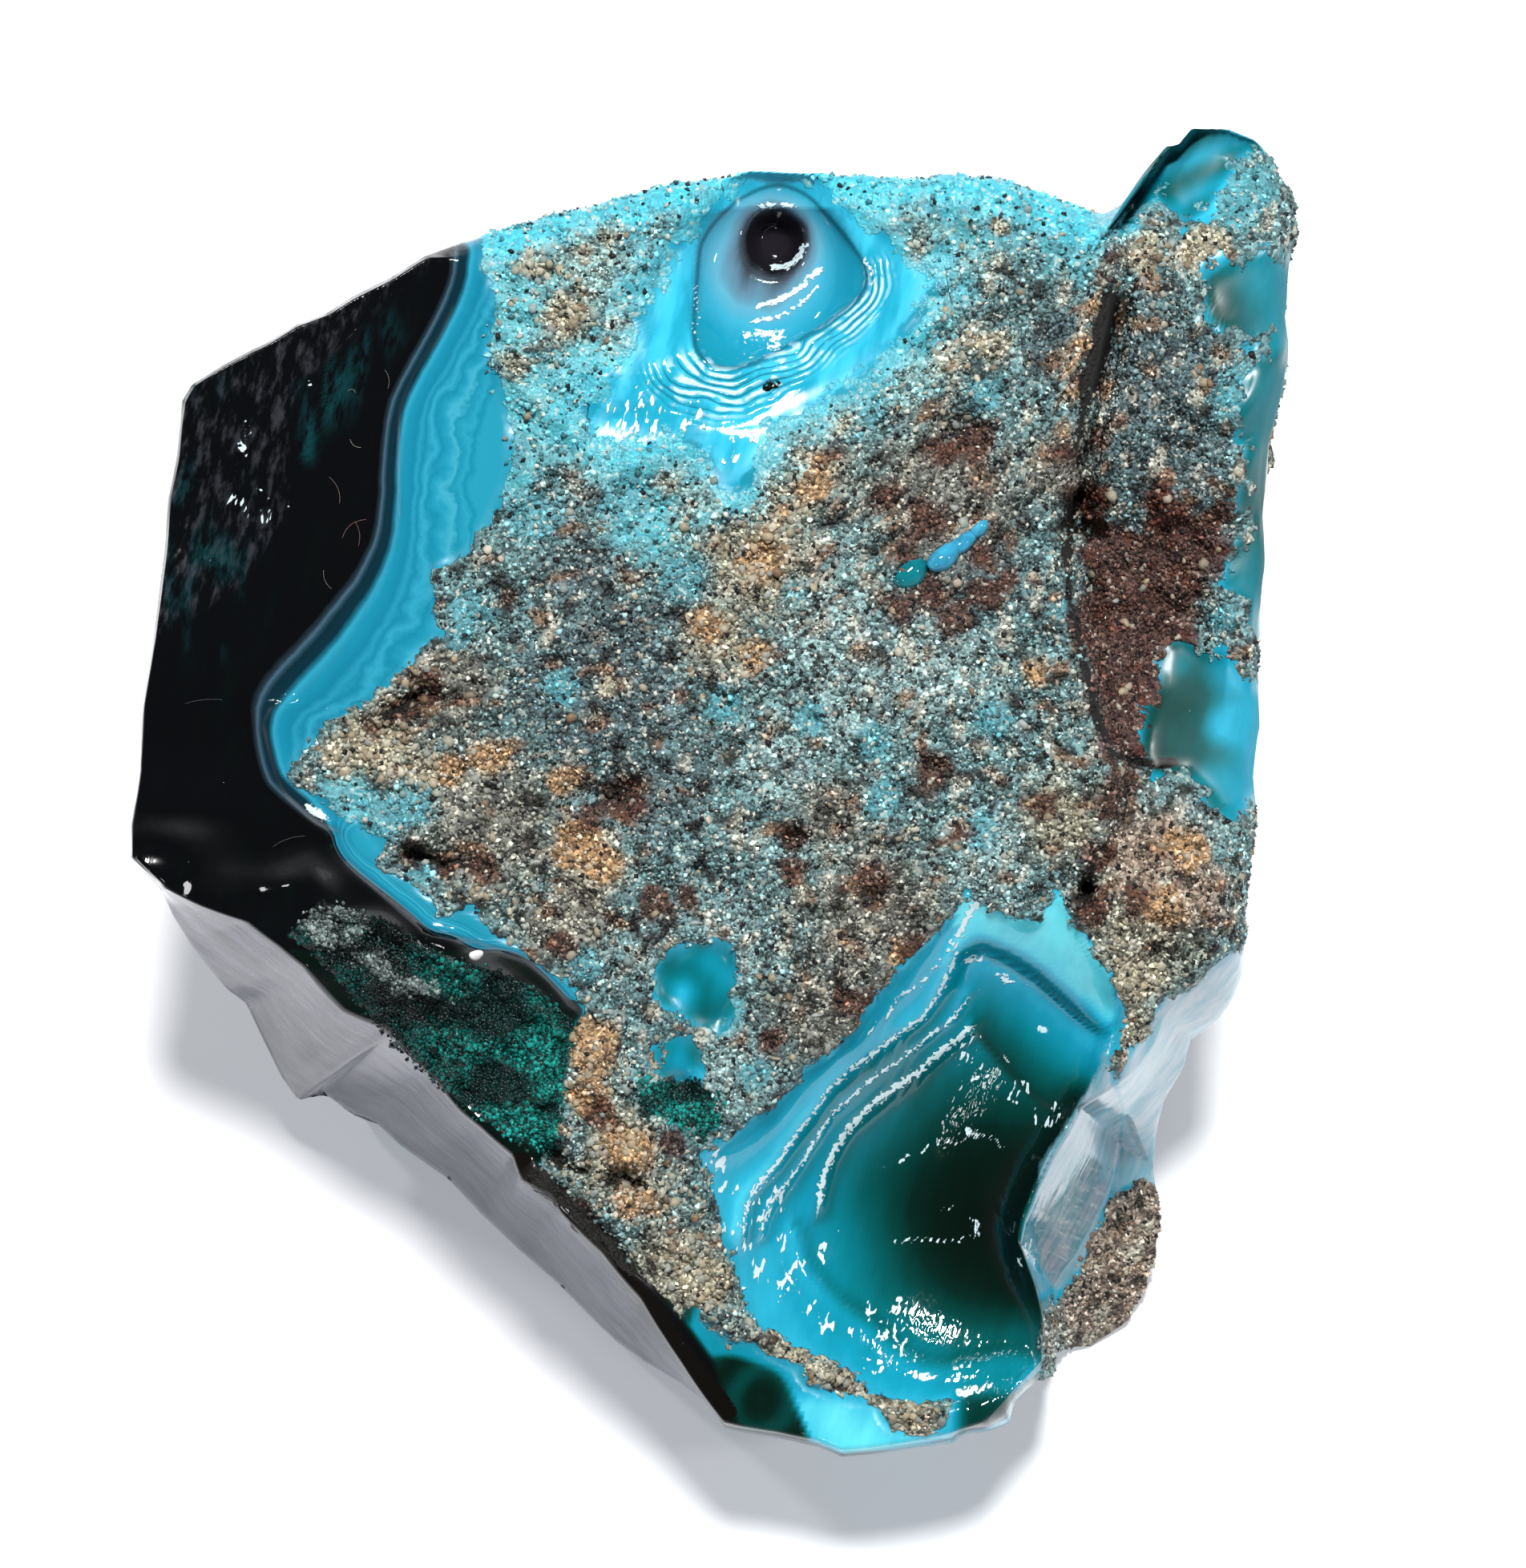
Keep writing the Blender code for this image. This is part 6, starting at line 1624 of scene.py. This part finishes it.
def hair_surface(start, end, sag):
    """A four-sided tube along a parabola between two places on the face, just clear of the surface."""
    t = np.linspace(0, 1, HAIR_RINGS)
    sideways = sag * 4 * t * (1 - t)
    length = math.hypot(end[0] - start[0], end[1] - start[1])
    line_a = start[0] + (end[0] - start[0]) * t - sideways * (end[1] - start[1]) / length
    line_b = start[1] + (end[1] - start[1]) * t + sideways * (end[0] - start[0]) / length
    surface = face_height(line_a, line_b) + face_detail(line_a, line_b)
    middles = to_lump(line_a, line_b, surface + HAIR_CLEARANCE)
    along = np.gradient(middles, axis=0)
    side = np.cross(along, FACE_OUT)
    side /= np.linalg.norm(side, axis=1)[:, None]
    up = np.cross(side, along / np.linalg.norm(along, axis=1)[:, None])
    ring = np.stack([middles + HAIR_WIDTH / 2 * d for d in (side, up, -side, -up)], 1)
    grid = np.arange(4 * HAIR_RINGS).reshape(HAIR_RINGS, 4)
    return ring.reshape(-1, 3), np.concatenate([ringed_quads(grid), grid[:1, ::-1], grid[-1:]])


tubes = [hair_surface(*hair[:3]) for hair in HAIRS]
walls = np.concatenate([faces + 4 * HAIR_RINGS * k for k, (_, faces) in enumerate(tubes)])
hairs = mesh_of("lint", np.concatenate([corners for corners, _ in tubes]), [walls],
                {"grain_colour": np.repeat([hair[3] for hair in HAIRS], 4 * HAIR_RINGS, axis=0)})
sand.lay_on(hairs)
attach(hairs, "root")

# ----------
# The table, the light and the camera: a white table under soft lamps in a ring, with the sky
# straight above left dark so that black glass stays black.
TABLE_SIZE = 6          # metres
SENSOR_WIDTH = 36       # millimetres
VIEW_WIDTH = 117.42     # millimetres of the face's plane that the camera takes in

corners = np.array([(-1, -1, 0), (1, -1, 0), (1, 1, 0), (-1, 1, 0)]) * TABLE_SIZE / 2 / MM
table = mesh_of("table", corners.astype(float), [np.array([[0, 1, 2, 3]])], {})
white = Finish("white_table")
clouded = white.mix(white.noise(40), (0.88, 0.88, 0.89), (0.92, 0.92, 0.93))
white.lay_on(table, {"Base Color": clouded, "Roughness": 0.6, "Emission Color": (0.88, 0.92, 1),
                     "Emission Strength": 0.34})

world = bpy.data.worlds.new("studio")
world.use_nodes = True
bpy.context.scene.world = world
sky = Nodes(world.node_tree)
towards = sky.node("ShaderNodeTexCoord").outputs["Generated"]
upward = sky.node("ShaderNodeSeparateXYZ", (towards,)).outputs["Z"]
sky.fill(sky.tree.nodes["Background"], {"Strength": 1, "Color": sky.ramp(upward, [
    (at, (grey, grey, 1.04 * grey)) for at, grey in ((0, 0.5), (0.08, 0.32), (0.28, 0.12), (0.6, 0.04))])})


def lamp(name, azimuth, elevation, width, power, away=0.9):
    """A round soft lamp, away metres off, that looks at the lump from directions in degrees."""
    light = bpy.data.lights.new(name, "AREA")
    light.shape = "DISK"
    light.size = width
    light.energy = power
    piece = bpy.data.objects.new(name, light)
    turn, tilt = math.radians(azimuth), math.radians(elevation)
    piece.location = (away * math.sin(turn) * math.cos(tilt), -away * math.cos(turn) * math.cos(tilt),
                      away * math.sin(tilt))
    piece.rotation_euler = (math.radians(90 - elevation), 0, turn)
    bpy.context.scene.collection.objects.link(piece)


lamp("window", 168, 80, 0.16, 9)
lamp("lamp_right", 75, 40, 0.09, 0.9)
lamp("lamp_left_back", 235, 40, 0.09, 1.1)
lamp("lamp_front", 350, 36, 0.1, 0.35)

camera = bpy.data.cameras.new("camera")
camera.sensor_width = SENSOR_WIDTH
camera.lens = SENSOR_WIDTH * EYE_DISTANCE / VIEW_WIDTH
viewer = bpy.data.objects.new("camera", camera)
bpy.context.scene.collection.objects.link(viewer)
height = np.array([0, EYE_DISTANCE])
ends = to_lump(np.full(2, EYE_FOOT[0]), np.full(2, EYE_FOOT[1]), height) * MM
viewer.location = ends[1]
viewer.rotation_euler = (math.radians(LEAN), 0, 0)
bpy.context.scene.camera = viewer
bpy.context.scene.view_settings.view_transform = "Standard"
